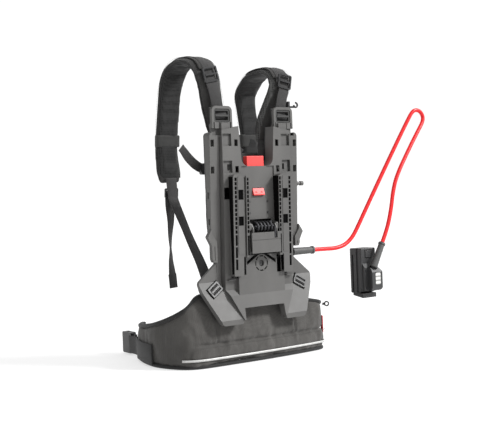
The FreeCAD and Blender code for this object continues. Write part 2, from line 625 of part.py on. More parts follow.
def soft_nodes():
    pad = prism("xz", rectangle(-107, 107, 250, 438), PAD_BACK, PAD_BACK + PAD_DEPTH, [26, 26, 8, 8])
    recess = block(-66, 66, PAD_BACK - 1, PAD_BACK + 12.4, 378, 440)
    save("back_pad", without(pad, [recess]))
    locks = []
    for side, name, drop, reach in ((1, "right", RIGHT_STRAP_DROP, RIGHT_STRAP_REACH), (-1, "left", 0.0, 0.0)):
        def put(part, shape):
            save(part + "_" + name, shape if side > 0 else mirrored(shape))

        put("shoulder_pad", shoulder_pad(drop, reach))
        lock_z = 571 - drop * 0.6
        up = vec(12, 2.5, 55)
        lifter = [(79.6, 11.6, 517), (83.5, 12.3, 533), (87.3, 13.0, 548 - drop * 0.3), (89.6, 13.4, 558 - drop * 0.6)]
        put("load_lifter", webbing(lifter, vec(1, 0, -0.2)))
        lock = placed(ladder(33, 30, 4, 2), vec(92.0, 14.6, lock_z + 4.5), vec(1, 0, -0.2), up)
        locks.append(lock if side > 0 else mirrored(lock))
    save("ladder_locks", Part.makeCompound(locks))
    root = [(47, 35, 438), (44, 31, 428), (40, 28, 416), (37, 27.2, 402)]
    save_group("root_webbing", webbing(root, vec(1, 0, 0.15)))
    save_group("root_buckles", placed(ladder(30, 15, 3, 1), vec(37, 30.2, 392), vec(1, 0, 0), vec(0, 0, 1)))
    save("strap_keepers", Part.makeCompound([keeper(RIGHT_STRAP_DROP, RIGHT_STRAP_REACH), mirrored(keeper(0.0, 0.0))]))
    save_group("strap_adjusters", placed(ladder(31, 20, 4, 2), vec(105.5, 157, 347), vec(1, 0, 0), vec(0, -0.1, 1)))
    lower = [(105.5, 149, 334), (107, 120, 296), (108.5, 84, 249), (110, 48, 205), (110.8, 29, 175),
             (110.8, 25.6, 166)]
    save_group("lower_webbing", webbing(lower, vec(1, 0, 0)))
    tail = [(105.5, 160, 334), (105.8, 165, 300), (106.6, 166, 250), (106, 165, 200), (105, 163, 149)]
    save_group("webbing_tails", webbing(tail, vec(1, 0.15, 0)))
    chest = [(67.4, 158, 431), (58, 158.3, 419.5), (46, 158, 408), (34.8, 157, 400)]
    save_group("chest_webbing", webbing(chest, vec(0.42, 0, 1), 20))
    socket = prism("xz", rectangle(-30, -3, 383, 407), 152, 161.5, 4)
    plug = prism("xz", rectangle(-2.6, 30, 384.5, 405.5), 152.8, 160.7, 4)
    save("chest_buckle_socket", socket)
    save("chest_buckle_plug", plug)


def keeper(drop, reach):
    """Elastic band round the chest part of a shoulder pad."""
    route = spline_points(strap_route(drop, reach), 60)
    near = [p for p in route if 441 < p.z < 467 and p.y > 100]
    outer = band([(p, vec(1, 0, 0), STRAP_WIDTH + 4.4) for p in near], STRAP_THICK + 4.4)
    inner = band([(p, vec(1, 0, 0), STRAP_WIDTH + 0.4) for p in near], STRAP_THICK + 0.4)
    return outer.cut(inner)


# ---------------------------------------------------------------- hip belt

# Plan of the belt's outer face from the middle of the back to the wing's tip: across, depth, top edge
BELT_RIGHT = [(0, 7, 138), (45, 8, 134), (90, 10, 126), (140, 14, 113), (172, 20, 106), (188, 37, 102),
              (193, 72, 98), (193, 110, 92), (186, 155, 84), (171, 205, 78), (152, 240, 76)]
BELT_LEFT = [(0, 7, 138), (45, 8, 140), (90, 9, 143), (140, 13, 142), (168, 29, 120), (185, 62, 103),
             (193, 105, 90), (186, 155, 82), (171, 205, 77), (152, 240, 76)]


def belt_part(curve, low, high):
    """Padded belt between two stations of its plan: an upright wall that follows the waist."""
    wires = []
    for i in range(low, high + 1):
        p = curve[i]
        ahead = curve[min(i + 1, len(curve) - 1)] - curve[max(i - 1, 0)]
        direction = vec(-ahead.y, ahead.x, 0).normalize()
        inward = direction * BELT_THICK
        foot_z = 9.0 if i == len(curve) - 1 else -BELT_SPARE
        lean = direction * (BELT_LEAN * min(max((168 - p.x) / 40, 0), 1))
        knee = min(62.0, p.z - 20)
        corners = [vec(p.x, p.y, foot_z), vec(p.x, p.y, knee), vec(p.x, p.y, p.z) + lean,
                   vec(p.x, p.y, p.z) + lean + inward, vec(p.x, p.y, knee) + inward,
                   vec(p.x, p.y, foot_z) + inward]
        wires.append(Part.makePolygon(corners + [corners[0]]))
    below = block(-400, 400, -400, 400, -3 * BELT_SPARE, 0)
    return Part.makeLoft(wires, True, True).cut(below)


def on_belt(curve, low, high, gap, z_low, z_high, thick):
    """Thin band that lies a small gap outside the belt's outer face."""
    stations = []
    for i in range(low, high + 1):
        p = curve[i]
        ahead = curve[min(i + 1, len(curve) - 1)] - curve[max(i - 1, 0)]
        outward = vec(ahead.y, -ahead.x, 0).normalize() * (gap + thick / 2)
        stations.append((vec(p.x, p.y, (z_low + z_high) / 2) + outward, vec(0, 0, 1), z_high - z_low))
    return stations


def belt_nodes():
    lumbar = []
    piping = []
    straps = []
    for side, name, plan in ((1, "right", BELT_RIGHT), (-1, "left", BELT_LEFT)):
        curve = spline_points([vec(*p) for p in plan], 29)
        turn = (lambda shape: shape) if side > 0 else mirrored
        lumbar.append(turn(belt_part(curve, 0, 10)))
        save("belt_wing_" + name, turn(belt_part(curve, 10, 28)))
        piping.append(turn(band(on_belt(curve, 1, 19, 0.3, 15, 20, 1.2), 1.2)))
        strip = on_belt(curve, 20, 27, 0.4, 6, 44, 1.8)
        strip = strip + [(vec(150.6, 256, 25), vec(0, 0, 1), 38), (vec(149.2, 276, 25), vec(0, 0, 1), 38)]
        straps.append(turn(band(strip, 1.8)))
    save("lumbar_belt", joined(lumbar))
    save("reflective_piping", Part.makeCompound(piping))
    save("belt_webbing", Part.makeCompound(straps))
    forward = vec(-0.03, 1, 0)
    socket = joined([
        prism("xy", rectangle(-23, 23, 0, 40), 0, 13, 4),
        prism("xy", rectangle(-19, 19, -11, 2), 3, 10, 2),
    ])
    socket = without(socket, [block(-20, 20, -8, -3, -1, 20), block(-26, -19, 14, 30, 3, 10),
                              block(19, 26, 14, 30, 3, 10), block(-16, 16, 30, 41, 3.5, 9.5)])
    plug = joined([
        prism("xy", rectangle(-22, 22, 0, 20), 1, 12, 3),
        prism("xy", rectangle(-19, 19, -11, 2), 3, 10, 2),
        prism("xy", rectangle(-4, 4, 18, 42), 4, 9, 2),
        prism("xy", rectangle(-20, -13, 18, 42), 4, 9, 2),
        prism("xy", rectangle(13, 20, 18, 42), 4, 9, 2),
    ])
    plug = without(plug, [block(-20, 20, -8, -3, -1, 20)])
    seat = vec(142.2, 288, 25.5)
    save("belt_buckle_socket", mirrored(placed(socket, seat, vec(0, 0, 1), forward)))
    save("belt_buckle_plug", placed(plug, seat, vec(0, 0, 1), forward))
    save("lumbar_pad", prism("xz", rectangle(-95, 95, 14, 122), 38.5, 48, 20))
    centre = vec(182.6, 13.0, 97.6)
    facing = vec(-0.5, -0.86, 0).normalize()
    along = vec(0.86, -0.5, 0)
    ring = Part.makeTorus(4.4, 1.5, centre, facing)
    tab = placed(block(-1.5, 5, -2.5, 2.5, -0.8, 0.8), centre - along * 7.8, along, vec(0, 0, 1))
    save("belt_ring", joined([ring, tab]))


# ---------------------------------------------------------------- cord, its boots and the adapter

CORD_ROUTE = [
    (154, 16, 214.5), (184, 16, 214.5), (216, 16, 213.6), (243, 16, 219), (265, 16, 233.5), (281, 16, 254),
    (310, 16, 296.5), (361.5, 16, 370.5), (414.5, 16, 445.5), (444, 16, 486), (462, 15.5, 510.5),
    (474.5, 15, 515.5), (487, 14, 512), (494, 12.5, 501), (491.5, 11, 488), (472.5, 8, 467.5),
    (436.5, 3, 426.5), (386, -5, 365.5), (369, -9, 330), (360, -12, 299), (349, -14.5, 269),
    (336.5, -16.5, 243), (322, -18, 219.5),
]


def cord_tube():
    """Straight runs joined by tangent arcs, each as large as its two runs allow."""
    points = [vec(*p) for p in CORD_ROUTE]
    edges = []
    start = points[0]
    length = 0.0
    radii = []
    for i in range(1, len(points) - 1):
        back = points[i - 1] - points[i]
        ahead = points[i + 1] - points[i]
        shorter = min(back.Length, ahead.Length)
        turn = math.pi - back.getAngle(ahead)
        reach = 0.45 * shorter
        radius = reach / math.tan(turn / 2)
        radii.append(radius)
        back_unit = (back * 1.0).normalize()
        ahead_unit = (ahead * 1.0).normalize()
        first = points[i] + back_unit * reach
        last = points[i] + ahead_unit * reach
        towards = (back_unit + ahead_unit).normalize()
        middle = points[i] + towards * (radius / math.cos(turn / 2) - radius)
        edges.append(Part.LineSegment(start, first).toShape())
        edges.append(Part.Arc(first, middle, last).toShape())
        length += (first - start).Length + radius * turn
        start = last
    edges.append(Part.LineSegment(start, points[-1]).toShape())
    length += (points[-1] - start).Length
    path = Part.Wire(edges)
    section = Part.Wire([Part.makeCircle(CORD_RADIUS, points[0], points[1] - points[0])])
    tube = path.makePipeShell([section], True, False)
    expected = math.pi * CORD_RADIUS ** 2 * length
    print("cord length", round(length, 1), "volume ratio", round(tube.Volume / expected, 4))
    print("cord radii", [round(r, 1) for r in radii])
    return tube


def sleeve(start, end, big, small):
    """Tapered strain relief from start to end, with a collar at its cord end."""
    run = end - start
    length = run.Length
    direction = (run * 1.0).normalize()
    taper = Part.makeCone(big, small, length, start, direction)
    collar = rod(end - direction * 5, direction, small + 1.3, 4.0)
    foot_ring = rod(start, direction, big + 0.8, 3.0)
    return joined([taper, collar, foot_ring])


def cord_nodes():
    save("power_cord", cord_tube())
    save("cord_boot", sleeve(vec(BOOT_START, BOOT_AXIS_Y, BOOT_AXIS_Z), vec(*CORD_ROUTE[0]), BOOT_RADIUS, 7.0))
    end = vec(*CORD_ROUTE[-1])
    run_out = (end - vec(*CORD_ROUTE[-2])).normalize()
    boot_foot = end + run_out * ADAPTER_BOOT
    save("adapter_boot", sleeve(boot_foot, end, 8.0, 6.6))
    body = block(268, 311, -7, 30, 112, 210, 2.5)
    grooves = [block(260, 271, 18, 23, 100, 196), block(260, 270, 2, 9, 100, 220), block(308, 320, 18, 23, 100, 196)]
    chamfer = prism("yz", [(-8, 111), (8, 111), (-8, 118)], 260, 320)
    window = block(279, 297, -8, 7, 188, 206)
    save("adapter_body", without(body, grooves + [window, chamfer]))
    foot_rail = prism("yz", [(-7, 111.8), (-7, 102), (24, 107), (24, 111.8)], 270, 309)
    save("adapter_contacts", foot_rail)
    save("adapter_latch", block(280.2, 295.8, -8.5, 2.5, 189.2, 204.8, 1.0))
    base = prism("yz", [(-7.2, 116), (-14, 118), (-14, 168), (-7.2, 177)], 271, 310)
    hump = prism("xz", [(281, 118), (311, 118), (311, 160), (303, 168), (281, 168)], -27, -13, [0, 4, 4, 3, 0])
    hump = hump.common(prism("yz", [(-10, 112), (-18, 112), (-27, 124), (-27, 158), (-20, 172), (-10, 172)],
                             260, 320))
    seat = rod(boot_foot, run_out * -1, 9.0, 40)
    save("adapter_cover", without(joined([base, hump]), [seat]))
    save("adapter_screws", Part.makeCompound([screw(vec(x, -14, z), vec(0, -1, 0), 2.0)
                                              for x, z in ((275.5, 124), (275.5, 162))]))


def fittings():
    peg = joined([
        rod(vec(PLATE_HALF, 12.2, 356), vec(1, 0, 0), 3.2, 20),
        rod(vec(PLATE_HALF, 12.2, 356), vec(1, 0, 0), 4.6, 6),
        rod(vec(PLATE_HALF + 13, 12.2, 356), vec(1, 0, 0), 4.6, 7),
    ])
    save("guide_peg", peg)
    save("guide_hook", guide_hook())
    board = block(-30, 30, 14.2, 19.6, 150, 188)
    lid = block(-32, 32, 9.5, 13.8, 148, 178)
    save("controller_housing", joined([lid, board]))
    lead_points = [vec(30.2, 17.0, 182), vec(48, 17.0, 186), vec(60, 17.0, 208), vec(85.8, 16.0, 214.5)]
    lead = band([(p, vec(0, 0.3, 1), 4) for p in lead_points], 2.4)
    save("inner_lead", lead)


def guide_hook():
    """J-shaped cord guide clipped to the right load lifter: a plate, an arm and an open hook."""
    clip = joined([block(86, 101.5, 13.4, 15.8, 510, 526), block(96.4, 101.5, 9.6, 15.8, 510, 526)])
    arm = rod(vec(101, 11.6, 514.5), vec(1, -0.42, 0), 2.0, 13)
    ring = Part.makeTorus(4.6, 1.9, vec(113.5, 6, 518.5), vec(0, 1, 0))
    gap = block(104, 113.5, -2, 14, 518.5, 530)
    return joined([clip, arm, without(ring, [gap])])


plate_nodes()
dock_nodes()
carrier_nodes()
soft_nodes()
belt_nodes()
cord_nodes()
fittings()
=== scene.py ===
"""Looks for the backpack carrier: soft goods, webbing, cord, materials, light and camera.

Lengths are in millimetres in the plate's own frame, as in the part's source: X across the back, +Y to the
wearer's front, +Z up, with Y = 0 on the plate's flange. at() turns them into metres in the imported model's frame.
"""

import json
import math

import bmesh
import bpy
import numpy as np
from mathutils import Matrix, Vector, noise


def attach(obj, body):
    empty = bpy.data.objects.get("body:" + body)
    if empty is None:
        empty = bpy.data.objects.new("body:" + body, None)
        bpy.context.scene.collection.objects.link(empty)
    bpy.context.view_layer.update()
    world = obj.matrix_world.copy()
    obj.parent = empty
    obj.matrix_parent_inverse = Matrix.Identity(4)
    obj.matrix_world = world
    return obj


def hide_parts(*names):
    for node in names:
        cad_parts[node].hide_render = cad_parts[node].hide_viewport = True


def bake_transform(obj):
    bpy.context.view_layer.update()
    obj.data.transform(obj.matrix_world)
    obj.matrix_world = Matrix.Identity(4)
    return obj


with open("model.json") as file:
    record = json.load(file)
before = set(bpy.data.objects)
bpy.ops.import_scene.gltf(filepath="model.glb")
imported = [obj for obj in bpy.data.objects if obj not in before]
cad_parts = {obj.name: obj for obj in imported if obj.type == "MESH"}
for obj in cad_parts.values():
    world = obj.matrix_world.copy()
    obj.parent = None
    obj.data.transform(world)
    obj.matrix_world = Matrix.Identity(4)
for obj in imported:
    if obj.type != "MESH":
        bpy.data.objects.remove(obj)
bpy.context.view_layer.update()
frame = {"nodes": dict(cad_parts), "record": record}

MM = 0.001
DEPTH_TO_ORIGIN = 151.4
ROOT = "harness"


def at(x, y, z):
    """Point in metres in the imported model's frame, from millimetres in the plate's frame."""
    return Vector((x, y - DEPTH_TO_ORIGIN, z)) * MM


# ---------------------------------------------------------------- curves and meshes

def smooth(points, count):
    """Catmull-Rom curve through the points, as evenly spaced samples."""
    data = np.array([tuple(p) for p in points], float)
    data = np.vstack([2 * data[0] - data[1], data, 2 * data[-1] - data[-2]])
    fine = []
    for i in range(1, len(data) - 2):
        a, b, c, d = data[i - 1:i + 3]
        for t in np.linspace(0, 1, 24, endpoint=False):
            fine.append(0.5 * (2 * b + (c - a) * t + (2 * a - 5 * b + 4 * c - d) * t ** 2
                               + (3 * b - a - 3 * c + d) * t ** 3))
    fine.append(data[-2])
    fine = np.array(fine)
    run = np.concatenate([[0], np.cumsum(np.linalg.norm(np.diff(fine, axis=0), axis=1))])
    wanted = np.linspace(0, run[-1], count)
    return np.stack([np.interp(wanted, run, fine[:, k]) for k in range(fine.shape[1])], axis=1)


def piece_from(name, verts, faces, material, body=ROOT):
    """Make a mesh object, shade it, give it a material and let it ride on a body, if one is named."""
    mesh = bpy.data.meshes.new(name)
    mesh.from_pydata([tuple(v) for v in verts], [], faces)
    mesh.validate()
    mesh.shade_smooth()
    piece = bpy.data.objects.new(name, mesh)
    bpy.context.scene.collection.objects.link(piece)
    mesh.materials.append(material)
    if body:
        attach(piece, body)
    return piece


def lofted(name, rings, material, body=ROOT):
    """Closed skin over rings of points; both ends are filled with a face."""
    verts = [p for ring in rings for p in ring]
    size = len(rings[0])
    faces = []
    for i in range(len(rings) - 1):
        for j in range(size):
            k = (j + 1) % size
            faces.append((i * size + j, i * size + k, (i + 1) * size + k, (i + 1) * size + j))
    faces.append(tuple(reversed(range(size))))
    faces.append(tuple(range((len(rings) - 1) * size, len(rings) * size)))
    piece = piece_from(name, verts, faces, material, body)
    tidy_normals(piece)
    return piece


def tidy_normals(piece):
    work = bmesh.new()
    work.from_mesh(piece.data)
    bmesh.ops.recalc_face_normals(work, faces=work.faces)
    work.to_mesh(piece.data)
    work.free()


def ribbon(name, centres, across, width, thick, material, body=ROOT, count=60):
    """Webbing along a smooth line in metres; across is one direction, or one for each centre."""
    line = smooth(centres, count)
    if isinstance(across, Vector):
        sides = np.tile(np.array(across), (count, 1))
    else:
        sides = smooth(across, count)
    tangents = np.gradient(line, axis=0)
    outline = [(-0.5, -0.3), (-0.46, -0.5), (0.46, -0.5), (0.5, -0.3), (0.5, 0.3), (0.46, 0.5), (-0.46, 0.5),
               (-0.5, 0.3)]
    rings = []
    run = 0.0
    spots = []
    for i in range(count):
        tangent = Vector(tangents[i]).normalized()
        side = Vector(sides[i])
        side = (side - tangent * side.dot(tangent)).normalized()
        normal = side.cross(tangent)
        centre = Vector(line[i])
        rings.append([centre + side * (u * width) + normal * (v * thick) for u, v in outline])
        if i:
            run += (Vector(line[i]) - Vector(line[i - 1])).length
        spots.append(run)
    piece = lofted(name, rings, material, body)
    layer = piece.data.uv_layers.new(name="cloth")
    size = len(outline)
    for loop in piece.data.loops:
        row, column = divmod(loop.vertex_index, size)
        layer.data[loop.index].uv = (outline[column][0] * width, spots[row])
    return piece


def tube(name, points, radius, material, body=ROOT):
    """Round line through points in metres, as a bevelled curve turned into a mesh."""
    curve = bpy.data.curves.new(name, "CURVE")
    curve.dimensions = "3D"
    curve.bevel_depth = radius
    curve.bevel_resolution = 3
    curve.use_fill_caps = True
    spline = curve.splines.new("POLY")
    spline.points.add(len(points) - 1)
    for spot, p in zip(spline.points, points):
        spot.co = (*p, 1)
    temporary = bpy.data.objects.new(name + "_line", curve)
    mesh = bpy.data.meshes.new_from_object(temporary)
    mesh.name = name
    mesh.shade_smooth()
    bpy.data.objects.remove(temporary)
    piece = bpy.data.objects.new(name, mesh)
    bpy.context.scene.collection.objects.link(piece)
    mesh.materials.clear()
    mesh.materials.append(material)
    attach(piece, body)
    return piece


STITCH_PITCH, STITCH_LENGTH, THREAD_RADIUS = 3.4, 2.3, 0.38
THREAD_SIDES = 5


def stitches(name, path, material):
    """A row of short thread stitches along a line in metres, all in one mesh."""
    fine = np.array([tuple(p) for p in path])
    run = np.concatenate([[0], np.cumsum(np.linalg.norm(np.diff(fine, axis=0), axis=1))])
    verts = []
    faces = []
    start = 0.0
    while start + STITCH_LENGTH * MM < run[-1]:
        ends = [Vector([np.interp(d, run, fine[:, k]) for k in range(3)])
                for d in (start, start + STITCH_LENGTH * MM)]
        direction = (ends[1] - ends[0]).normalized()
        side = direction.orthogonal().normalized()
        other = direction.cross(side)
        base = len(verts)
        for end, shrink in ((ends[0], 0.5), (ends[0].lerp(ends[1], 0.5), 1.0), (ends[1], 0.5)):
            for a in range(THREAD_SIDES):
                angle = math.tau * a / THREAD_SIDES
                spoke = side * math.cos(angle) + other * math.sin(angle)
                verts.append(end + spoke * (THREAD_RADIUS * shrink * MM))
        for row in range(2):
            for a in range(THREAD_SIDES):
                b = (a + 1) % THREAD_SIDES
                low = base + row * THREAD_SIDES
                faces.append((low + a, low + b, low + THREAD_SIDES + b, low + THREAD_SIDES + a))
        faces.append(tuple(base + a for a in reversed(range(THREAD_SIDES))))
        faces.append(tuple(base + 2 * THREAD_SIDES + a for a in range(THREAD_SIDES)))
        start += STITCH_PITCH * MM
    return piece_from(name, verts, faces, material)


def coordinates(piece):
    co = np.zeros(len(piece.data.vertices) * 3)
    piece.data.vertices.foreach_get("co", co)
    return co.reshape(-1, 3)


def put_coordinates(piece, co):
    piece.data.vertices.foreach_set("co", co.ravel())
    piece.data.update()


def settle_modifiers(piece):
    """Replace the piece's mesh by the one its modifiers give."""
    bpy.context.view_layer.update()
    evaluated = piece.evaluated_get(bpy.context.evaluated_depsgraph_get())
    mesh = bpy.data.meshes.new_from_object(evaluated)
    mesh.name = piece.name
    piece.modifiers.clear()
    piece.data = mesh
    mesh.shade_smooth()


CLOTH_FRAMES = 20


def puffed(piece, voxel, pressure, cap, softening=6):
    """Remesh a closed mesh, swell it by at most cap mm with a short cloth simulation, and subdivide it."""
    remesh = piece.modifiers.new("remesh", "REMESH")
    remesh.mode = "VOXEL"
    remesh.voxel_size = voxel * MM
    softer = piece.modifiers.new("softer", "SMOOTH")
    softer.iterations = softening
    settle_modifiers(piece)
    before = coordinates(piece)
    cloth = piece.modifiers.new("cloth", "CLOTH")
    cloth.point_cache.frame_start = 1
    cloth.point_cache.frame_end = CLOTH_FRAMES
    settings = cloth.settings
    settings.quality = 5
    settings.mass = 0.25
    settings.use_pressure = True
    settings.uniform_pressure_force = pressure
    settings.bending_stiffness = 0.4
    settings.effector_weights.gravity = 0
    for step in range(1, CLOTH_FRAMES + 1):
        bpy.context.scene.frame_set(step)
    evaluated = piece.evaluated_get(bpy.context.evaluated_depsgraph_get())
    after = coordinates(evaluated)
    piece.modifiers.clear()
    bpy.context.scene.frame_set(1)
    moved = after - before
    length = np.linalg.norm(moved, axis=1, keepdims=True) + 1e-9
    put_coordinates(piece, before + moved * np.minimum(1, cap * MM / length))
    finer = piece.modifiers.new("finer", "SUBSURF")
    finer.levels = 1
    settle_modifiers(piece)
    return piece


def pushed(piece, amount):
    """Move every vertex along its normal by amount(position in mm, normal), in mm."""
    mesh = piece.data
    moves = []
    for v in mesh.vertices:
        spot = v.co / MM
        moves.append(v.normal * (amount(spot.x, spot.y + DEPTH_TO_ORIGIN, spot.z, v.normal) * MM))
    for v, move in zip(mesh.vertices, moves):
        v.co += move
    mesh.update()
    mesh.shade_smooth()


def dip(distance, width):
    """A groove's profile: 1 on the line, falling to 0."""
    return math.exp(-(distance / width) ** 2)


def ramp(value, low, high):
    """Smooth step from 0 at low to 1 at high."""
    t = min(max((value - low) / (high - low), 0), 1)
    return t * t * (3 - 2 * t)


def crumple(x, y, z, size, seed):
    """Smooth noise from -1 to 1 with features of about size mm."""
    return noise.noise(Vector((x / size + seed, y / size, z / size)))


# ---------------------------------------------------------------- materials

class Finish:
    """A Principled material under construction. Coordinates are the object's own, in metres."""

    def __init__(self, name, colour, roughness, specular=0.5, metallic=0.0, sheen=0.0):
        self.material = bpy.data.materials.new(name)
        self.material.use_nodes = True
        self.tree = self.material.node_tree
        self.shader = self.tree.nodes["Principled BSDF"]
        self.set(self.shader, {
            "Base Color": (*colour, 1), "Roughness": roughness, "Specular IOR Level": specular,
            "Metallic": metallic, "Sheen Weight": sheen, "Sheen Roughness": 0.5,
        })
        self.colour = colour
        self.places = self.node("ShaderNodeTexCoord")
        self.height = None

    def set(self, node, values):
        for key, value in values.items():
            node.inputs[key].default_value = value

    def node(self, kind, inputs=None, **settings):
        made = self.tree.nodes.new(kind)
        for key, value in settings.items():
            setattr(made, key, value)
        self.set(made, inputs or {})
        return made

    def link(self, output, target):
        self.tree.links.new(output, target)

    def place(self, scale=(1, 1, 1), kind="Object"):
        mapping = self.node("ShaderNodeMapping", {"Scale": scale})
        self.link(self.places.outputs[kind], mapping.inputs["Vector"])
        return mapping.outputs["Vector"]

    def noise(self, scale, detail, place=None):
        made = self.node("ShaderNodeTexNoise", {"Scale": scale, "Detail": detail, "Roughness": 0.5})
        self.link(place or self.place(), made.inputs["Vector"])
        return made.outputs["Fac"]

    def wave(self, scale, direction, place=None, distortion=0.0):
        made = self.node("ShaderNodeTexWave", {"Scale": scale, "Distortion": distortion}, wave_type="BANDS",
                         bands_direction=direction)
        self.link(place or self.place(), made.inputs["Vector"])
        return made.outputs["Fac"]

    def cells(self, scale):
        made = self.node("ShaderNodeTexVoronoi", {"Scale": scale, "Randomness": 0.15})
        self.link(self.place(), made.inputs["Vector"])
        return made.outputs["Distance"]

    def math(self, operation, a, b):
        made = self.node("ShaderNodeMath", operation=operation)
        for socket, value in zip(made.inputs, (a, b)):
            if isinstance(value, (int, float)):
                socket.default_value = value
            else:
                self.link(value, socket)
        return made.outputs[0]

    def spread(self, factor, low, high):
        """Map a 0 to 1 factor to a range."""
        made = self.node("ShaderNodeMapRange", {"To Min": low, "To Max": high})
        self.link(factor, made.inputs["Value"])
        return made.outputs["Result"]

    def shades(self, factor, dark, light, low=0.3, high=0.7):
        """Colour the surface between two multiples of its base colour."""
        made = self.node("ShaderNodeValToRGB")
        stops = made.color_ramp.elements
        stops[0].position, stops[1].position = low, high
        stops[0].color = (*[c * dark for c in self.colour], 1)
        stops[1].color = (*[min(c * light, 1) for c in self.colour], 1)
        self.link(factor, made.inputs["Fac"])
        self.link(made.outputs["Color"], self.shader.inputs["Base Color"])

    def roughness(self, factor, low, high):
        self.link(self.spread(factor, low, high), self.shader.inputs["Roughness"])

    def bump(self, height, distance, strength=1.0):
        """Add a bump layer of a given height in mm on top of the earlier ones."""
        made = self.node("ShaderNodeBump", {"Strength": strength, "Distance": distance * MM})
        self.link(height, made.inputs["Height"])
        if self.height is not None:
            self.link(self.height, made.inputs["Normal"])
        self.height = made.outputs["Normal"]
        self.link(self.height, self.shader.inputs["Normal"])


def moulded(name, colour, roughness, grain=0.05, specular=0.5):
    """Injection-moulded plastic: spark-eroded grain, faint flow streaks, rubbed patches."""
    f = Finish(name, colour, roughness, specular)
    f.shades(f.noise(22, 4, f.place((1, 1, 0.35))), 0.9, 1.1)
    f.roughness(f.noise(60, 3), roughness - 0.07, roughness + 0.09)
    f.bump(f.noise(1500, 2), grain)
    f.bump(f.noise(14, 1), 0.25, 0.3)
    return f.material


WAVES_PER_METRE = 314       # wave texture scale that gives bands 1 mm apart
CLOTH_ROUGHNESS = 0.85


def woven(name, colour, pitch=1.3):
    """Plain-weave cover cloth in object space, with slubs and rubbed, dusty variation."""
    f = Finish(name, colour, CLOTH_ROUGHNESS, 0.2, sheen=0.15)
    scale = WAVES_PER_METRE / pitch
    warp = f.wave(scale, "X", distortion=1.2)
    weft = f.wave(scale, "Z", distortion=1.2)
    depth_way = f.wave(scale, "Y", distortion=1.2)
    cloth = f.math("MAXIMUM", f.math("MULTIPLY", warp, weft), f.math("MULTIPLY", depth_way, weft))
    patches = f.noise(18, 4)
    f.shades(f.math("ADD", f.math("MULTIPLY", cloth, 0.35), f.math("MULTIPLY", patches, 0.65)), 0.72, 1.34,
             0.25, 0.75)
    f.roughness(f.noise(45, 2), CLOTH_ROUGHNESS - 0.1, CLOTH_ROUGHNESS + 0.08)
    f.bump(cloth, 0.12)
    f.bump(f.noise(260, 3), 0.12)
    return f.material


def spacer_mesh(name, colour, pitch=3.2):
    """Padded knitted mesh with round pores."""
    f = Finish(name, colour, 0.9, 0.15, sheen=0.1)
    pores = f.cells(1000 / pitch)
    f.shades(pores, 0.35, 1.5, 0.15, 0.5)
    f.bump(pores, 0.7, 0.8)
    f.bump(f.noise(700, 2), 0.08)
    return f.material


def webbing_cloth(name, colour, ribs=1.9):
    """Ribbed nylon webbing: ribs along its length, fine picks across, on the ribbon's UVs in metres."""
    f = Finish(name, colour, 0.7, 0.3, sheen=0.1)
    across = f.wave(WAVES_PER_METRE / ribs, "X", f.place(kind="UV"))
    picks = f.wave(WAVES_PER_METRE / 1.1, "Y", f.place(kind="UV"), distortion=0.5)
    weave = f.math("MULTIPLY", across, f.spread(picks, 0.5, 1.0))
    mixed = f.math("ADD", f.math("MULTIPLY", weave, 0.5), f.math("MULTIPLY", f.noise(35, 3), 0.5))
    f.shades(mixed, 0.7, 1.35)
    f.bump(weave, 0.3)
    f.bump(f.noise(900, 2), 0.05)
    return f.material


def rubber(name, colour, roughness):
    """Moulded rubber or thread: slightly patchy, with a fine grain."""
    f = Finish(name, colour, roughness, 0.4)
    f.shades(f.noise(30, 3), 0.93, 1.06)
    f.roughness(f.noise(90, 3), roughness - 0.08, roughness + 0.1)
    f.bump(f.noise(700, 2), 0.04)
    f.bump(f.noise(50, 1), 0.2, 0.3)
    return f.material


def metal(name, colour, roughness):
    """Drawn or pressed metal with faint streaks."""
    f = Finish(name, colour, roughness, metallic=1.0)
    f.shades(f.noise(70, 4), 0.8, 1.1)
    f.roughness(f.noise(220, 3, f.place((1, 6, 6))), roughness - 0.1, roughness + 0.15)
    f.bump(f.noise(900, 2, f.place((0.2, 1, 1))), 0.03)
    return f.material


def reflective_tape(name):
    """Grey tape covered with fine glass beads."""
    f = Finish(name, (0.5, 0.5, 0.49), 0.4, 0.6)
    f.shades(f.cells(900), 0.85, 1.15)
    f.bump(f.cells(900), 0.05)
    return f.material


def label_print(name):
    """Light sticker with plain darker bars and no lettering."""
    f = Finish(name, (0.62, 0.62, 0.6), 0.45, 0.4)
    bars = f.wave(36, "Z")
    mixed = f.math("ADD", f.math("MULTIPLY", bars, 0.8), f.math("MULTIPLY", f.noise(420, 1), 0.25))
    f.shades(mixed, 0.45, 1.05, 0.25, 0.45)
    f.bump(f.noise(500, 2), 0.02)
    return f.material


plate_grey = moulded("plate_grey", (0.09, 0.088, 0.085), 0.5)
buckle_grey = moulded("buckle_grey", (0.045, 0.045, 0.044), 0.34, grain=0.02)
black_plastic = moulded("black_plastic", (0.016, 0.016, 0.017), 0.33, grain=0.03)
adapter_black = moulded("adapter_black", (0.03, 0.03, 0.031), 0.45)
coral_plastic = moulded("coral_plastic", (0.78, 0.06, 0.055), 0.42, grain=0.03)
cover_cloth = woven("cover_cloth", (0.036, 0.035, 0.034))
belt_cloth = woven("belt_cloth", (0.074, 0.071, 0.067))
inner_mesh = spacer_mesh("inner_mesh", (0.02, 0.02, 0.02))
webbing = webbing_cloth("webbing", (0.034, 0.033, 0.033))
binding_cloth = webbing_cloth("binding_cloth", (0.022, 0.022, 0.022), 1.2)
tape = reflective_tape("tape")
border_mesh = spacer_mesh("border_mesh", (0.05, 0.05, 0.049), 4.2)
keeper_cloth = woven("keeper_cloth", (0.04, 0.04, 0.039), pitch=1.8)
thread = rubber("thread", (0.05, 0.05, 0.05), 0.6)
spring_steel = metal("spring_steel", (0.075, 0.075, 0.08), 0.58)
# Near-black finish, darker than any plastic here: painted shade for the hollow sides of the rails
painted_shade_black = moulded("painted_shade_black", (0.003, 0.003, 0.003), 0.9, specular=0.05)
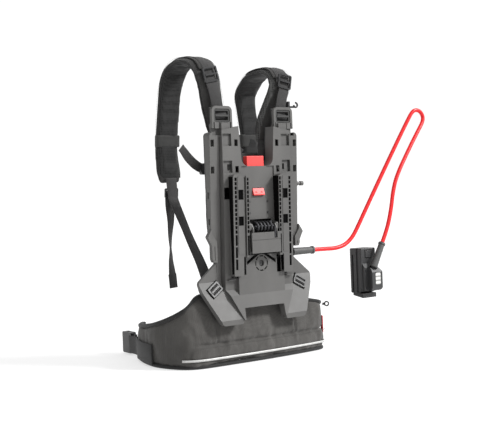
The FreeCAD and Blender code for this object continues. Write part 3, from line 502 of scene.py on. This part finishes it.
screw_steel = metal("screw_steel", (0.1, 0.1, 0.1), 0.5)
contact_brass = metal("contact_brass", (0.75, 0.55, 0.25), 0.3)
red_cable = rubber("red_cable", (0.78, 0.012, 0.016), 0.38)
boot_rubber = rubber("boot_rubber", (0.075, 0.075, 0.074), 0.5)
red_cloth = woven("red_cloth", (0.6, 0.02, 0.03))
label = label_print("label")

# Finish of each material slot, and of the nodes that look different from their slot
SLOT_FINISH = {
    "plate_grey": plate_grey, "black_plastic": black_plastic, "coral_plastic": coral_plastic,
    "charcoal_fabric": cover_cloth, "black_mesh": inner_mesh, "webbing": webbing, "reflective": tape,
    "spring_steel": spring_steel, "contact_brass": contact_brass, "red_cable": red_cable,
    "boot_rubber": boot_rubber,
}
NODE_FINISH = {
    # rail_liners: a near-black sheet inside the rails, painted shade where the rail sides fall in shadow
    "rail_liners": painted_shade_black, "plate_screws": screw_steel, "foot_triglides": buckle_grey,
    "carrier_triglide_left": buckle_grey, "carrier_triglide_right": buckle_grey,
}


def finish_cad_nodes():
    """Give every carried-over CAD node its own finish, or else that of its material slot."""
    for part in frame["record"]["subparts"]:
        finish = SLOT_FINISH[part["material_slot"]]
        if part["node"].startswith("adapter_") and finish == black_plastic:
            finish = adapter_black
        finish = NODE_FINISH.get(part["node"], finish)
        for material_slot in frame["nodes"][part["node"]].material_slots:
            material_slot.material = finish


# ---------------------------------------------------------------- cord

CORD_ROUTE = [
    (154, 16, 214.5), (184, 16, 214.5), (216, 16, 213.6), (243, 16, 219), (265, 16, 233.5), (281, 16, 254),
    (310, 16, 296.5), (361.5, 16, 370.5), (414.5, 16, 445.5), (444, 16, 486), (462, 15.5, 510.5),
    (474.5, 15, 515.5), (487, 14, 512), (494, 12.5, 501), (491.5, 11, 488), (472.5, 8, 467.5),
    (436.5, 3, 426.5), (386, -5, 365.5), (369, -9, 330), (360, -12, 299), (349, -14.5, 269),
    (336.5, -16.5, 243), (322, -18, 219.5),
]
CORD_DIAMETER = 9.0


def power_cord():
    """The cord in its resting shape; the adapter and its label move with it."""
    curve = bpy.data.curves.new("power_cord_line", "CURVE")
    curve.dimensions = "3D"
    curve.bevel_depth = CORD_DIAMETER / 2 * MM
    curve.bevel_resolution = 6
    curve.resolution_u = 10
    curve.use_fill_caps = True
    spline = curve.splines.new("NURBS")
    spline.points.add(len(CORD_ROUTE) - 1)
    for spot, place in zip(spline.points, CORD_ROUTE):
        spot.co = (*at(*place), 1)
    spline.order_u = 3
    spline.use_endpoint_u = True
    curve.materials.append(red_cable)
    cord = bpy.data.objects.new("cord", curve)
    bpy.context.scene.collection.objects.link(cord)
    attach(cord, ROOT)
    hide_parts("power_cord")
    sticker = adapter_label()


def adapter_label():
    """Thin rounded sticker on the adapter's rear hump."""
    low = at(290.5, -27.5, 131)
    high = at(304.5, -26.9, 157)
    work = bmesh.new()
    bmesh.ops.create_cube(work, size=1.0)
    for v in work.verts:
        v.co = Vector([low[k] if v.co[k] < 0 else high[k] for k in range(3)])
    upright = [e for e in work.edges if abs(e.verts[0].co.y - e.verts[1].co.y) > 1e-6]
    bmesh.ops.bevel(work, geom=upright, offset=1.6 * MM, segments=4, affect="EDGES")
    mesh = bpy.data.meshes.new("adapter_label")
    work.to_mesh(mesh)
    work.free()
    mesh.materials.append(label)
    sticker = bpy.data.objects.new("adapter_label", mesh)
    bpy.context.scene.collection.objects.link(sticker)
    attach(sticker, ROOT)
    return sticker


# ---------------------------------------------------------------- shoulder pads

STRAP_WIDTH, STRAP_THICK = 64.0, 15.0
STRAP_ROUTE = [
    (56, 41, 441.5), (62, 42, 478), (74, 38, 515), (84, 31, 548), (91, 28, 574), (94, 41, 597), (97, 68, 607),
    (100, 98, 606), (102, 125, 592), (104, 143, 562), (105, 153, 520), (106, 160, 470), (106, 163, 420),
    (105, 158, 366),
]
RIGHT_DROP, RIGHT_REACH = 14.0, 24.0    # how much lower and further forward the right strap's arch lies
ARCH_FOOT, ARCH_FRONT, ARCH_RISE = 515, 562, 92     # heights that the drop and the reach are spread over
SHOULDER_Y = 90             # the strap is in front of the shoulder beyond this
STRAP_SAMPLES = 200
PAD_SEAM = 24.5             # a pad's stitched border line, from its middle
BORDER = 17.0               # the mesh border on a pad's inner edge starts this far from its middle


class Strap:
    """One shoulder pad's middle line, with the direction that its cover faces."""

    def __init__(self, name, side, drop):
        self.name, self.side, self.drop = name, side, drop
        reach = RIGHT_REACH * drop / RIGHT_DROP
        lowered = [(x, y + (reach * max(0, 1 - abs(z - ARCH_FRONT) / ARCH_RISE) if y > SHOULDER_Y else 0),
                    z - drop * min(max((z - ARCH_FOOT) / ARCH_RISE, 0), 1)) for x, y, z in STRAP_ROUTE]
        self.line = smooth(lowered, STRAP_SAMPLES)
        self.tangents = np.gradient(self.line, axis=0)

    def spot(self, t, across, out):
        """Point at t from root (0) to tip (1), across the pad and out from its middle, in mm."""
        i = min(max(t * (STRAP_SAMPLES - 1), 0), STRAP_SAMPLES - 1.001)
        low = int(i)
        centre = self.line[low] * (1 - i + low) + self.line[low + 1] * (i - low)
        side = Vector((1, 0, 0))
        outward = side.cross(Vector(self.tangents[low])).normalized()
        place = Vector(centre) + side * across + outward * out
        return at(place.x * self.side, place.y, place.z)

    def local(self, x, y, z):
        """(t, across, out) of a point given in mm: the reverse of spot."""
        gaps = (self.line[:, 1] - y) ** 2 + (self.line[:, 2] - z) ** 2
        low = int(np.argmin(gaps))
        centre = self.line[low]
        tangent = self.tangents[low] / np.linalg.norm(self.tangents[low])
        outward = np.array([-tangent[2], tangent[1]])
        out = (y - centre[1]) * outward[0] + (z - centre[2]) * outward[1]
        return low / (STRAP_SAMPLES - 1), x * self.side - centre[0], out

    def at_height(self, z, front):
        """t where the middle line passes a height, behind the shoulder or in front of it."""
        rows = [i for i in range(STRAP_SAMPLES) if (self.line[i][1] > SHOULDER_Y) == front]
        return min(rows, key=lambda i: abs(self.line[i][2] - z)) / (STRAP_SAMPLES - 1)


def oval(across, out, square=0.5, count=20):
    """Points of a rounded cross-section: half-width, half-thickness and how square it is."""
    points = []
    for k in range(count):
        c, s = math.cos(math.tau * k / count), math.sin(math.tau * k / count)
        points.append((across * math.copysign(abs(c) ** square, c), out * math.copysign(abs(s) ** square, s)))
    return points


def strap_pad(strap):
    """Padded band: a rounded cross-section, swollen, with a stitched border and creases."""
    rings = []
    stations = 64
    for i in range(stations + 1):
        t = i / stations
        half = STRAP_WIDTH / 2 - 2.5
        thick = STRAP_THICK / 2 - 1.6
        tip = min((1 - t) * stations / 2.6, 1)
        root = min(t * stations / 4, 1)
        half *= (0.78 + 0.22 * math.sin(math.pi / 2 * tip)) * (0.8 + 0.2 * root)
        thick *= (0.55 + 0.45 * tip) * (0.7 + 0.3 * root)
        rings.append([strap.spot(t, u, v) for u, v in oval(half, thick)])
    pad = lofted("strap_pad_" + strap.name, rings, cover_cloth)
    puffed(pad, 4.5, 3.0, 3.0, softening=2)

    def shape(x, y, z, normal):
        t, across, out = strap.local(x, y, z)
        seam = dip(abs(across) - PAD_SEAM, 1.8) * (0.9 if out > 0 else 0.5)
        bend = 0.9 * crumple(x, y * 0.5, z * 0.5, 16, 3) * ramp(0.17 - abs(t - 0.42), 0, 0.17)
        folds = 1.1 * crumple(x, y, z, 30, 9) + 0.5 * crumple(x, y, z, 12, 5)
        return folds + bend - seam

    pushed(pad, shape)
    pad.data.materials.append(inner_mesh)
    pad.data.materials.append(border_mesh)
    for face in pad.data.polygons:
        spot = face.center / MM
        t, across, out = strap.local(spot.x, spot.y + DEPTH_TO_ORIGIN, spot.z)
        if out < -1.5:
            face.material_index = 1
        elif across < -BORDER and t < 0.5:
            face.material_index = 2
    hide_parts("shoulder_pad_" + strap.name)
    return pad


REACH_STEPS = 40


def pad_reach(strap, pad, edge):
    """How far the finished pad reaches across to one side, at even steps from root to tip, in mm."""
    reach = np.zeros(REACH_STEPS + 1)
    for v in pad.data.vertices:
        spot = v.co / MM
        t, across, _ = strap.local(spot.x, spot.y + DEPTH_TO_ORIGIN, spot.z)
        step = round(t * REACH_STEPS)
        reach[step] = max(reach[step], across * edge)
    padded_out = np.pad(reach, 1, mode="edge")
    return (padded_out[:-2] + padded_out[1:-1] + padded_out[2:]) / 3


def strap_trim(strap, reaches):
    """Piping along both edges, border stitches, and the webbing sewn over the shoulder."""
    for name, edge in (("outer", 1), ("inner", -1)):
        reach = reaches[edge]
        path = []
        for t in np.linspace(0.04, 0.975, 90):
            width = np.interp(t * REACH_STEPS, range(REACH_STEPS + 1), reach)
            path.append(strap.spot(t, edge * (width - 0.5), 1.5))
        tube("strap_piping_" + name + "_" + strap.name, path, 1.2 * MM, binding_cloth)
        sewn = [strap.spot(t, edge * PAD_SEAM, STRAP_THICK / 2 + 0.1) for t in np.linspace(0.05, 0.9, 120)]
        stitches("strap_stitches_" + name + "_" + strap.name, sewn, thread)
    low = strap.at_height(575 - strap.drop, False)
    over = [strap.spot(t, -2, STRAP_THICK / 2 + 1.7) for t in np.linspace(low, 0.62, 24)]
    ribbon("shoulder_web_" + strap.name, over, Vector((1, 0, 0)), 25 * MM, 2.0 * MM, webbing, count=50)
    flap = [strap.spot(t, -2, STRAP_THICK / 2 + 0.5) for t in np.linspace(low + 0.02, 0.5, 16)]
    ribbon("shoulder_flap_" + strap.name, flap, Vector((1, 0, 0)), 40 * MM, 2.4 * MM, cover_cloth, count=30)
    for edge in (-1, 1):
        sewn = [strap.spot(t, -2 + edge * 10.8, STRAP_THICK / 2 + 2.9)
                for t in np.linspace(low + 0.07, 0.6, 60)]
        stitches("web_stitches_%s_%s" % ("out" if edge > 0 else "in", strap.name), sewn, thread)


def strap_keeper(strap, reaches):
    """Elastic band round the chest part of the pad."""
    top, low = strap.at_height(467, True), strap.at_height(441, True)
    half = max(reaches[edge][round(top * REACH_STEPS)] for edge in (1, -1))
    rings = []
    for i in range(11):
        t = top + (low - top) * i / 10
        grow = 1.4 if 0 < i < 10 else 0.6
        rings.append([strap.spot(t, u, v) for u, v in
                      oval(half + grow, STRAP_THICK / 2 + grow + 0.3, 0.5, 36)])
    band = lofted("strap_keeper_" + strap.name, rings, keeper_cloth)
    return band


def shoulder_straps():
    """Both pads with their trim; the two keeper bands together replace one node."""
    for name, side, drop in (("left", -1, 0.0), ("right", 1, RIGHT_DROP)):
        strap = Strap(name, side, drop)
        pad = strap_pad(strap)
        reaches = {edge: pad_reach(strap, pad, edge) for edge in (1, -1)}
        strap_trim(strap, reaches)
        strap_keeper(strap, reaches)
    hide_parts("strap_keepers")
    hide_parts("strap_keepers")


# ---------------------------------------------------------------- cushions behind the plate

def cushion(name, half, low, high, front, depth, corner, finish):
    """Upright cushion: rings up its height, narrowed at the corners; the callers swell it."""
    rings = []
    rows = 40
    for i in range(rows + 1):
        z = low + 2 + (high - low - 4) * i / rows
        width = half - 2.5
        for gap, radius in ((z - low, corner[0]), (high - z, corner[1])):
            if gap < radius:
                width -= radius - math.sqrt(max(radius ** 2 - (radius - gap) ** 2, 0))
        edge = min(i, rows - i)
        thick = depth / 2 - 1.8
        thick *= 0.55 + 0.45 * min(edge / 3, 1)
        rings.append([at(x, front + depth / 2 + y, z) for x, y in oval(width, thick, 0.4, 48)])
    return lofted(name, rings, finish)


def back_cushion():
    """Back pad: flat behind the plate, open for the strap roots, with sewn channels on the wearer's side."""
    pad = cushion("back_cushion", 107, 250, 438, 25.4, 20.6, (26, 8), cover_cloth)
    for v in pad.data.vertices:
        x, z = v.co.x / MM, v.co.z / MM
        pocket = 12.6 * ramp(z, 370, 380) * ramp(70 - abs(x), 0, 6)
        y = v.co.y / MM + DEPTH_TO_ORIGIN
        if y < 35:
            v.co.y += pocket * MM
    puffed(pad, 5, 3.5, 3.0)

    def shape(x, y, z, normal):
        folds = 0.7 * crumple(x, y, z, 24, 2) + 0.3 * crumple(x, y, z, 9, 4)
        side = ramp(abs(x), 100, 106)
        folds += 0.9 * side * math.sin(y * 0.9 + 2.0 * crumple(x, y, z, 60, 7))
        channels = 0.0
        if normal.y > 0.2:
            channels = 2.6 * dip(abs(x) - 36, 3) * ramp(z, 262, 272) + 1.8 * dip(z - 345, 3)
            channels += 1.6 * dip(abs(x) - 94, 2.4)
        return folds - channels

    pushed(pad, shape)
    pad.data.materials.append(inner_mesh)
    for face in pad.data.polygons:
        if face.normal.y > 0.35:
            face.material_index = 1
    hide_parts("back_pad")


def lumbar_cushion():
    """Thin mesh cushion inside the belt, with three sewn channels."""
    pad = cushion("lumbar_cushion", 95, 14, 122, 38.5, 9.5, (20, 20), inner_mesh)
    puffed(pad, 5, 3.0, 2.5)

    def shape(x, y, z, normal):
        channels = 1.6 * dip(abs(x) - 30, 3) + 1.2 * dip(z - 68, 3) if normal.y > 0.2 else 0.0
        return 0.5 * crumple(x, y, z, 22, 8) - channels

    pushed(pad, shape)
    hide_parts("lumbar_pad")


# ---------------------------------------------------------------- webbing

FOOT_BUCKLE = Vector((106.4, 7.87, 153.0))
FOOT_UPHILL = Vector((0, 0.342, 1)).normalized()
FOOT_TURN = math.radians(33)


def foot_direction(side, along, across):
    """Direction in a foot buckle's own plane, along its bars and across them."""
    bars = Vector((1, 0, 0)) * math.cos(FOOT_TURN) - FOOT_UPHILL * math.sin(FOOT_TURN)
    over = Vector((1, 0, 0)) * math.sin(FOOT_TURN) + FOOT_UPHILL * math.cos(FOOT_TURN)
    way = bars * along + over * across
    return Vector((way.x * side, way.y, way.z))


def on_foot(side, along, across, out):
    """Point in a foot buckle's plane, and out of it to the front, in mm from its middle."""
    out_way = Vector((1, 0, 0)).cross(FOOT_UPHILL)
    place = foot_direction(1, along, across) + out_way * out + FOOT_BUCKLE
    return at(place.x * side, place.y, place.z)


WEB_WIDTH, WEB_THICK = 25, 1.8


def places(points, side):
    """Points in metres from points in mm on the right side, mirrored for the left."""
    return [at(x * side, y, z) for x, y, z in points]


def harness_webbing():
    """Load lifters, strap roots, lower straps, hanging tails and the chest strap, on both sides."""
    for name, side, drop in (("left", -1, 0.0), ("right", 1, RIGHT_DROP)):
        out = Vector((side, 0, 0))
        lock = 571 - drop * 0.6
        lifter = [(76, 12.2, 483), (76, 10.5, 487.6), (76, 6.2, 491), (76, 5.3, 494.2), (76, 6.2, 497.4),
                  (76, 10.6, 500.8), (76.6, 12.6, 507), (79.6, 12.2, 517), (84.5, 12.5, 540 - drop * 0.3),
                  (89.4, 13.0, lock - 14), (92.5, 16.6, lock + 4), (94.5, 19, lock + 16)]
        web = ribbon("lifter_web_" + name, places(lifter, side), Vector((1, 0, -0.2 * side)), WEB_WIDTH * MM,
                     WEB_THICK * MM, webbing, body=None)
        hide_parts("load_lifter_" + name)
        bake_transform(web)
        backing = [(76, 13.4, 477), (76, 13.4, 490), (76, 13.4, 502), (76, 13.4, 511)]
        ribbon("carrier_backing_" + name, places(backing, side), out, 45 * MM, 1.4 * MM, webbing,
               "carrier_" + name, 12)
        wrap = [(-15, -6), (-8, -3.5), (-3.6, 2.4), (0, 3.2), (3.6, 2.4), (8, -3.5), (15, -6.5)]
        ribbon("foot_web_" + name, [on_foot(side, 0, v, w) for v, w in wrap], foot_direction(side, 1, 0),
               WEB_WIDTH * MM, WEB_THICK * MM, webbing, count=40)
        ribbon("foot_backing_" + name, [on_foot(side, 0, v, -7) for v in (-17, -6, 6, 17)],
               foot_direction(side, 1, 0), 42 * MM, 1.6 * MM, webbing, count=10)
        root = [(50, 37, 446), (46, 34.5, 436), (43, 30.6, 427), (40, 28, 416), (37, 27.3, 402),
                (37, 27.3, 384)]
        web = ribbon("strap_root_" + name, places(root, side), Vector((1, 0, 0.2 * side)), WEB_WIDTH * MM,
                     WEB_THICK * MM, webbing)
        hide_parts("root_webbing")
        lower = [(105.5, 154.0, 378), (105.5, 151.6, 360), (105.5, 150, 345), (105.6, 146, 331),
                 (106.8, 120, 296), (108.5, 84, 249), (110, 48, 205), (110.8, 29, 175), (110.8, 25.6, 166)]
        twist = [out, out, out, Vector((side, 0.15 * side, 0)), Vector((side, 0.36 * side, 0)),
                 Vector((side, 0.3 * side, 0)), Vector((side, 0.1 * side, 0)), out, out]
        web = ribbon("lower_strap_" + name, places(lower, side), twist, WEB_WIDTH * MM, WEB_THICK * MM,
                     webbing, count=90)
        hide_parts("lower_webbing")
        tail = [(105.5, 158.4, 352), (105.5, 160.5, 336), (105.2, 163, 318), (104, 164.5, 290),
                (106.4, 165.6, 255), (107.5, 164, 222), (107.2, 165.4, 206), (106, 165, 185), (104.6, 163, 149)]
        turn = [Vector((side, 0, 0)), Vector((side, 0, 0)), Vector((side * 0.9, 0.5 * side, 0)),
                Vector((side * 0.62, 0.8 * side, 0)), Vector((side * 0.75, 0.66 * side, 0)),
                Vector((side * 0.9, 0.4 * side, 0)), Vector((side * 0.85, 0.4 * side, 0)),
                Vector((side * 0.9, 0.35 * side, 0)), Vector((side * 0.95, 0.3 * side, 0))]
        web = ribbon("strap_tail_" + name, places(tail, side), turn, WEB_WIDTH * MM, WEB_THICK * MM, webbing,
                     count=90)
        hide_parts("webbing_tails")
        hem = [(105.2, 165.6, 178), (104.5, 165, 165), (104.0, 164.4, 150)]
        ribbon("tail_hem_" + name, places(hem, side), Vector((side * 0.93, 0.35 * side, 0)), 25.6 * MM,
               WEB_THICK * MM, webbing, count=12)
        chest = [(76, 157, 441), (67.4, 158, 431), (58, 158.3, 419.5), (46, 158, 408), (34.8, 157, 400),
                 (29, 156.8, 397.5)]
        web = ribbon("chest_strap_" + name, places(chest, side), Vector((0.42 * side, 0, 1)), 20 * MM,
                     WEB_THICK * MM, webbing)
        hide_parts("chest_webbing")


# ---------------------------------------------------------------- hip belt

BELT_RIGHT = [(0, 7, 138), (45, 8, 134), (90, 10, 126), (140, 14, 113), (172, 20, 106), (188, 37, 102),
              (193, 72, 98), (193, 110, 92), (186, 155, 84), (171, 205, 78), (152, 240, 76)]
BELT_LEFT = [(0, 7, 138), (45, 8, 140), (90, 9, 143), (140, 13, 142), (168, 29, 120), (185, 62, 103),
             (193, 105, 90), (186, 155, 82), (171, 205, 77), (152, 240, 76)]
BELT_THICK = 16.0
BELT_LEAN = 14.0            # how far the back of the belt leans in towards its top edge
BELT_SAMPLES = 400
BELT_SEAM = 45.5            # height of the quilt seam
SEAM_LEFT, SEAM_RIGHT = -102, 93        # the upright seams on the back


class Belt:
    """The belt's plan from the left tip to the right tip, with its top edge."""

    def __init__(self):
        plan = [(-x, y, z) for x, y, z in reversed(BELT_LEFT[1:])] + BELT_RIGHT
        self.line = smooth(plan, BELT_SAMPLES)
        self.tangents = np.gradient(self.line[:, :2], axis=0)

    def row(self, s):
        """Point of the plan at s, from the left tip (0) to the right (1), and the inward direction there."""
        i = min(max(s * (BELT_SAMPLES - 1), 0), BELT_SAMPLES - 1.001)
        low = int(i)
        place = self.line[low] * (1 - i + low) + self.line[low + 1] * (i - low)
        tangent = self.tangents[low] * (1 - i + low) + self.tangents[low + 1] * (i - low)
        tangent = tangent / np.linalg.norm(tangent)
        return place, np.array([-tangent[1], tangent[0]])

    def top(self, s):
        return self.row(s)[0][2]

    def bottom(self, s):
        return 9.0 * ramp(abs(s - 0.5), 0.46, 0.5)

    def spot(self, s, inward, z):
        """Point at s along the belt, a depth in from its outer face, at height z, in mm."""
        place, inside = self.row(s)
        knee = min(62.0, place[2] - 20)
        share = min(max((168 - abs(place[0])) / 40, 0), 1)
        lean = BELT_LEAN * share * min(max((z - knee) / (place[2] - knee), 0), 1)
        x, y = place[:2] + inside * (inward + lean)
        return at(x, y, z)

    def where(self, x_wanted, far=False):
        """The s whose outer face is at a given x, on the belt's back or, if far, on the wing beyond it."""
        best = None
        for s in np.linspace(0, 1, 801):
            place = self.row(s)[0]
            if (place[1] > 72) != far or place[0] * x_wanted < 0:
                continue
            miss = abs(place[0] - x_wanted)
            if best is None or miss < best[0]:
                best = (miss, s)
        return best[1]


belt = Belt()


def belt_pad():
    """Hip belt body: swollen shell with a quilt seam, upright seams, a raised lower panel and creases."""
    rings = []
    stations = 150
    for i in range(stations + 1):
        s = i / stations
        low, high = belt.bottom(s) + 1, belt.top(s) - 1
        thick = BELT_THICK - 5
        end = min(i, stations - i)
        if end < 4:
            thick *= 0.55 + 0.45 * math.sin(math.pi / 2 * end / 4)
        ring = []
        for v, u in oval((high - low) / 2, thick / 2, 0.5, 28):
            ring.append(belt.spot(s, BELT_THICK / 2 - u, (low + high) / 2 + v))
        rings.append(ring)
    pad = lofted("hip_belt", rings, belt_cloth)
    puffed(pad, 5, 2.5, 3.0, softening=1)
    panel_end = -160.0

    def shape(x, y, z, normal):
        outside = ramp(-normal.y, -0.1, 0.3) if y < 60 else 0.0
        seam_z = BELT_SEAM + 0.9 * crumple(x, 0, 0, 18, 4)
        seam = 4.2 * dip(z - seam_z, 3.4) * ramp(x, panel_end, panel_end + 30)
        upright = 3.4 * (dip(x - SEAM_LEFT, 3.2) + dip(x - SEAM_RIGHT, 3.2)) * ramp(z, 44, 50)
        corner = math.hypot(max(panel_end + 22 - x, 0), max(z - 24, 0))
        panel = 2.4 * ramp(seam_z - z, 0, 5) * ramp(z, 19, 23) * ramp(22 - corner, 0, 5)
        gathers = 1.5 * math.sin(x / 6.5 + 3 * crumple(x, 0, z, 30, 2))
        gathers *= dip(z - seam_z, 12) * ramp(x, -100, -80)
        folds = 2.6 * crumple(x, y, z * 0.45, 34, 11) + 1.3 * crumple(x * 1.6, y, z * 0.6, 16, 6)
        slack = 3.6 * crumple(x * 0.8 + z * 0.7, 0, z * 0.4 - x * 0.3, 19, 13)
        slack *= dip(x + 125, 30) * dip(z - 70, 30)
        return folds + slack + outside * (panel + gathers - seam - upright)

    pushed(pad, shape)
    pad.data.materials.append(inner_mesh)
    for face in pad.data.polygons:
        spot = face.center / MM
        inward = Vector((-spot.x, 120 - spot.y - DEPTH_TO_ORIGIN, 0)).normalized()
        if face.normal.dot(inward) > 0.35:
            face.material_index = 1
    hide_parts("lumbar_belt", "belt_wing_left", "belt_wing_right")


def belt_binding(name, height, tall, thick):
    """Folded tape wrapped round an edge of the belt."""
    rings = []
    stations = 220
    for i in range(stations + 1):
        s = 0.004 + 0.992 * i / stations
        z = height(s)
        rings.append([belt.spot(s, BELT_THICK / 2 - u, z + v) for v, u in oval(tall / 2, thick / 2, 0.6, 16)])
    binding = lofted(name, rings, binding_cloth)
    return binding


def belt_strip(name, start, end, low, high, out, thick, finish, count=160):
    """Flat strip on the belt's outer face between two places along it and two heights."""
    rings = []
    for i in range(count + 1):
        s = start + (end - start) * i / count
        lift = 0.0 if 0 < i < count else -thick * 0.4
        base = belt.bottom(s)
        middle, half = (low + high) / 2 + base * 0.5, (high - low) / 2
        rings.append([belt.spot(s, -out - lift - u, middle + v) for v, u in
                      [(-half, -0.3 * thick), (-half * 0.94, 0.5 * thick), (half * 0.94, 0.5 * thick),
                       (half, -0.3 * thick), (half * 0.9, -0.5 * thick), (-half * 0.9, -0.5 * thick)]])
    strip = lofted(name, rings, finish)
    return strip


def belt_details():
    """Bindings, reflective strip, webbing sleeves, the red tab and the seams' stitches."""
    belt_binding("belt_top_binding", lambda s: belt.top(s) - 3.2, 8.5, 12.0)
    belt_binding("belt_bottom_binding", lambda s: belt.bottom(s) + 3.6, 7.0, 14.0)
    left, right = belt.where(-172), belt.where(190)
    stripe = belt_strip("reflective_strip", left, right + 0.01, 15.2, 19.8, 1.6, 1.2, tape)
    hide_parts("reflective_piping")
    sleeve = belt_strip("belt_sleeve_left", 0.02, belt.where(-187, True) + 0.05, 4, 46, 1.6, 2.2,
                        binding_cloth)
    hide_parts("belt_webbing")
    belt_strip("belt_sleeve_right", 1 - belt.where(-187, True) - 0.05, 0.98, 4, 46, 1.6, 2.2, binding_cloth)
    belt_strip("side_tab", belt.where(187.5), belt.where(187.5) + 0.012, 33, 70, 1.4, 1.6, red_cloth, 8)
    sewn = [belt.spot(s, -3.0, 42.5) for s in np.linspace(belt.where(-140), right, 260)]
    stitches("panel_stitches", sewn, thread)
    for name, x in (("left", SEAM_LEFT), ("right", SEAM_RIGHT)):
        s = belt.where(x)
        for k, shift in enumerate((-0.0035, 0.0035)):
            sewn = [belt.spot(s + shift, -1.9, z) for z in np.linspace(50, 84 if x < 0 else 71, 20)]
            stitches("seam_stitches_%s_%d" % (name, k), sewn, thread)


def belt_ends():
    """Belt webbing that runs from each wing's sleeve into its buckle half."""
    for name, side in (("left", -1), ("right", 1)):
        run = [(158, 228, 25), (152.6, 246, 25), (150.6, 258, 25), (149.4, 276, 25), (148.9, 284, 25)]
        web = ribbon("belt_strap_" + name, places(run, side), Vector((0, 0, 1)), 38 * MM, 2.2 * MM, webbing,
                     count=24)
        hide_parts("belt_webbing")


# ---------------------------------------------------------------- floor, light and camera

def stage():
    """Pale floor just under the object."""
    floor_finish = Finish("floor", (0.42, 0.42, 0.42), 0.9, 0.1)
    floor_finish.set(floor_finish.shader, {"Emission Color": (1, 1, 1, 1), "Emission Strength": 0.62})
    floor_finish.roughness(floor_finish.noise(3, 2), 0.85, 0.95)
    bpy.ops.mesh.primitive_plane_add(size=60)
    floor = bpy.context.object
    floor.name = "floor"
    floor.location.z = -0.0005
    floor.data.materials.append(floor_finish.material)


def light(name, kind, direction, distance, energy, size):
    """A lamp that shines at the middle of the object from a direction."""
    data = bpy.data.lights.new(name, kind)
    data.energy = energy
    if kind == "SUN":
        data.angle = math.radians(size)
    else:
        data.shape = "DISK"
        data.size = size
    lamp = bpy.data.objects.new(name, data)
    bpy.context.scene.collection.objects.link(lamp)
    towards = Vector(direction).normalized()
    lamp.location = at(0, 80, 300) + towards * distance
    lamp.rotation_euler = towards.to_track_quat("Z", "Y").to_euler()


AZIMUTH, PITCH, ROLL = math.radians(36.03), math.radians(1.66), math.radians(-2.36)
CAMERA_AIM = (-20, 0, 280)
CAMERA_DISTANCE = 2000
LENS, SENSOR_WIDTH = 72, 36


def camera():
    """Long lens from behind and to the wearer's left, level with the plate."""
    forward = Vector((math.sin(AZIMUTH) * math.cos(PITCH), math.cos(AZIMUTH) * math.cos(PITCH),
                      -math.sin(PITCH)))
    flat = Vector((math.cos(AZIMUTH), -math.sin(AZIMUTH), 0))
    rise = flat.cross(forward)
    right = flat * math.cos(ROLL) + rise * math.sin(ROLL)
    up = rise * math.cos(ROLL) - flat * math.sin(ROLL)
    data = bpy.data.cameras.new("camera")
    data.lens = LENS
    data.sensor_width = SENSOR_WIDTH
    shooter = bpy.data.objects.new("camera", data)
    bpy.context.scene.collection.objects.link(shooter)
    place = Matrix((right, up, -forward)).transposed().to_4x4()
    place.translation = at(*CAMERA_AIM) - forward * (CAMERA_DISTANCE * MM)
    shooter.matrix_world = place
    bpy.context.scene.camera = shooter


def surroundings():
    """Pale surroundings, bright behind the object and to its right, dim to its left."""
    world = bpy.data.worlds.new("studio")
    bpy.context.scene.world = world
    world.use_nodes = True
    nodes, links = world.node_tree.nodes, world.node_tree.links
    place = nodes.new("ShaderNodeTexCoord")
    along = nodes.new("ShaderNodeVectorMath")
    along.operation = "DOT_PRODUCT"
    along.inputs[1].default_value = (0.9, 0.436, 0)
    spread = nodes.new("ShaderNodeMapRange")
    spread.inputs["From Min"].default_value = -0.6
    spread.inputs["From Max"].default_value = 0.6
    spread.inputs["To Min"].default_value = 0.22
    spread.inputs["To Max"].default_value = 1.05
    links.new(place.outputs["Generated"], along.inputs[0])
    links.new(along.outputs["Value"], spread.inputs["Value"])
    links.new(spread.outputs["Result"], nodes["Background"].inputs["Strength"])
    nodes["Background"].inputs["Color"].default_value = (1, 1, 1, 1)


def studio():
    bpy.context.scene.view_settings.view_transform = "Standard"
    stage()
    surroundings()
    light("key", "SUN", (0.62, -0.75, 0.72), 3, 3.4, 11)
    light("glint", "AREA", (-0.6, -0.9, 0.9), 2.4, 14, 1.2)
    camera()


# ---------------------------------------------------------------- the scene

finish_cad_nodes()
power_cord()
shoulder_straps()
back_cushion()
lumbar_cushion()
harness_webbing()
belt_pad()
belt_details()
belt_ends()
studio()
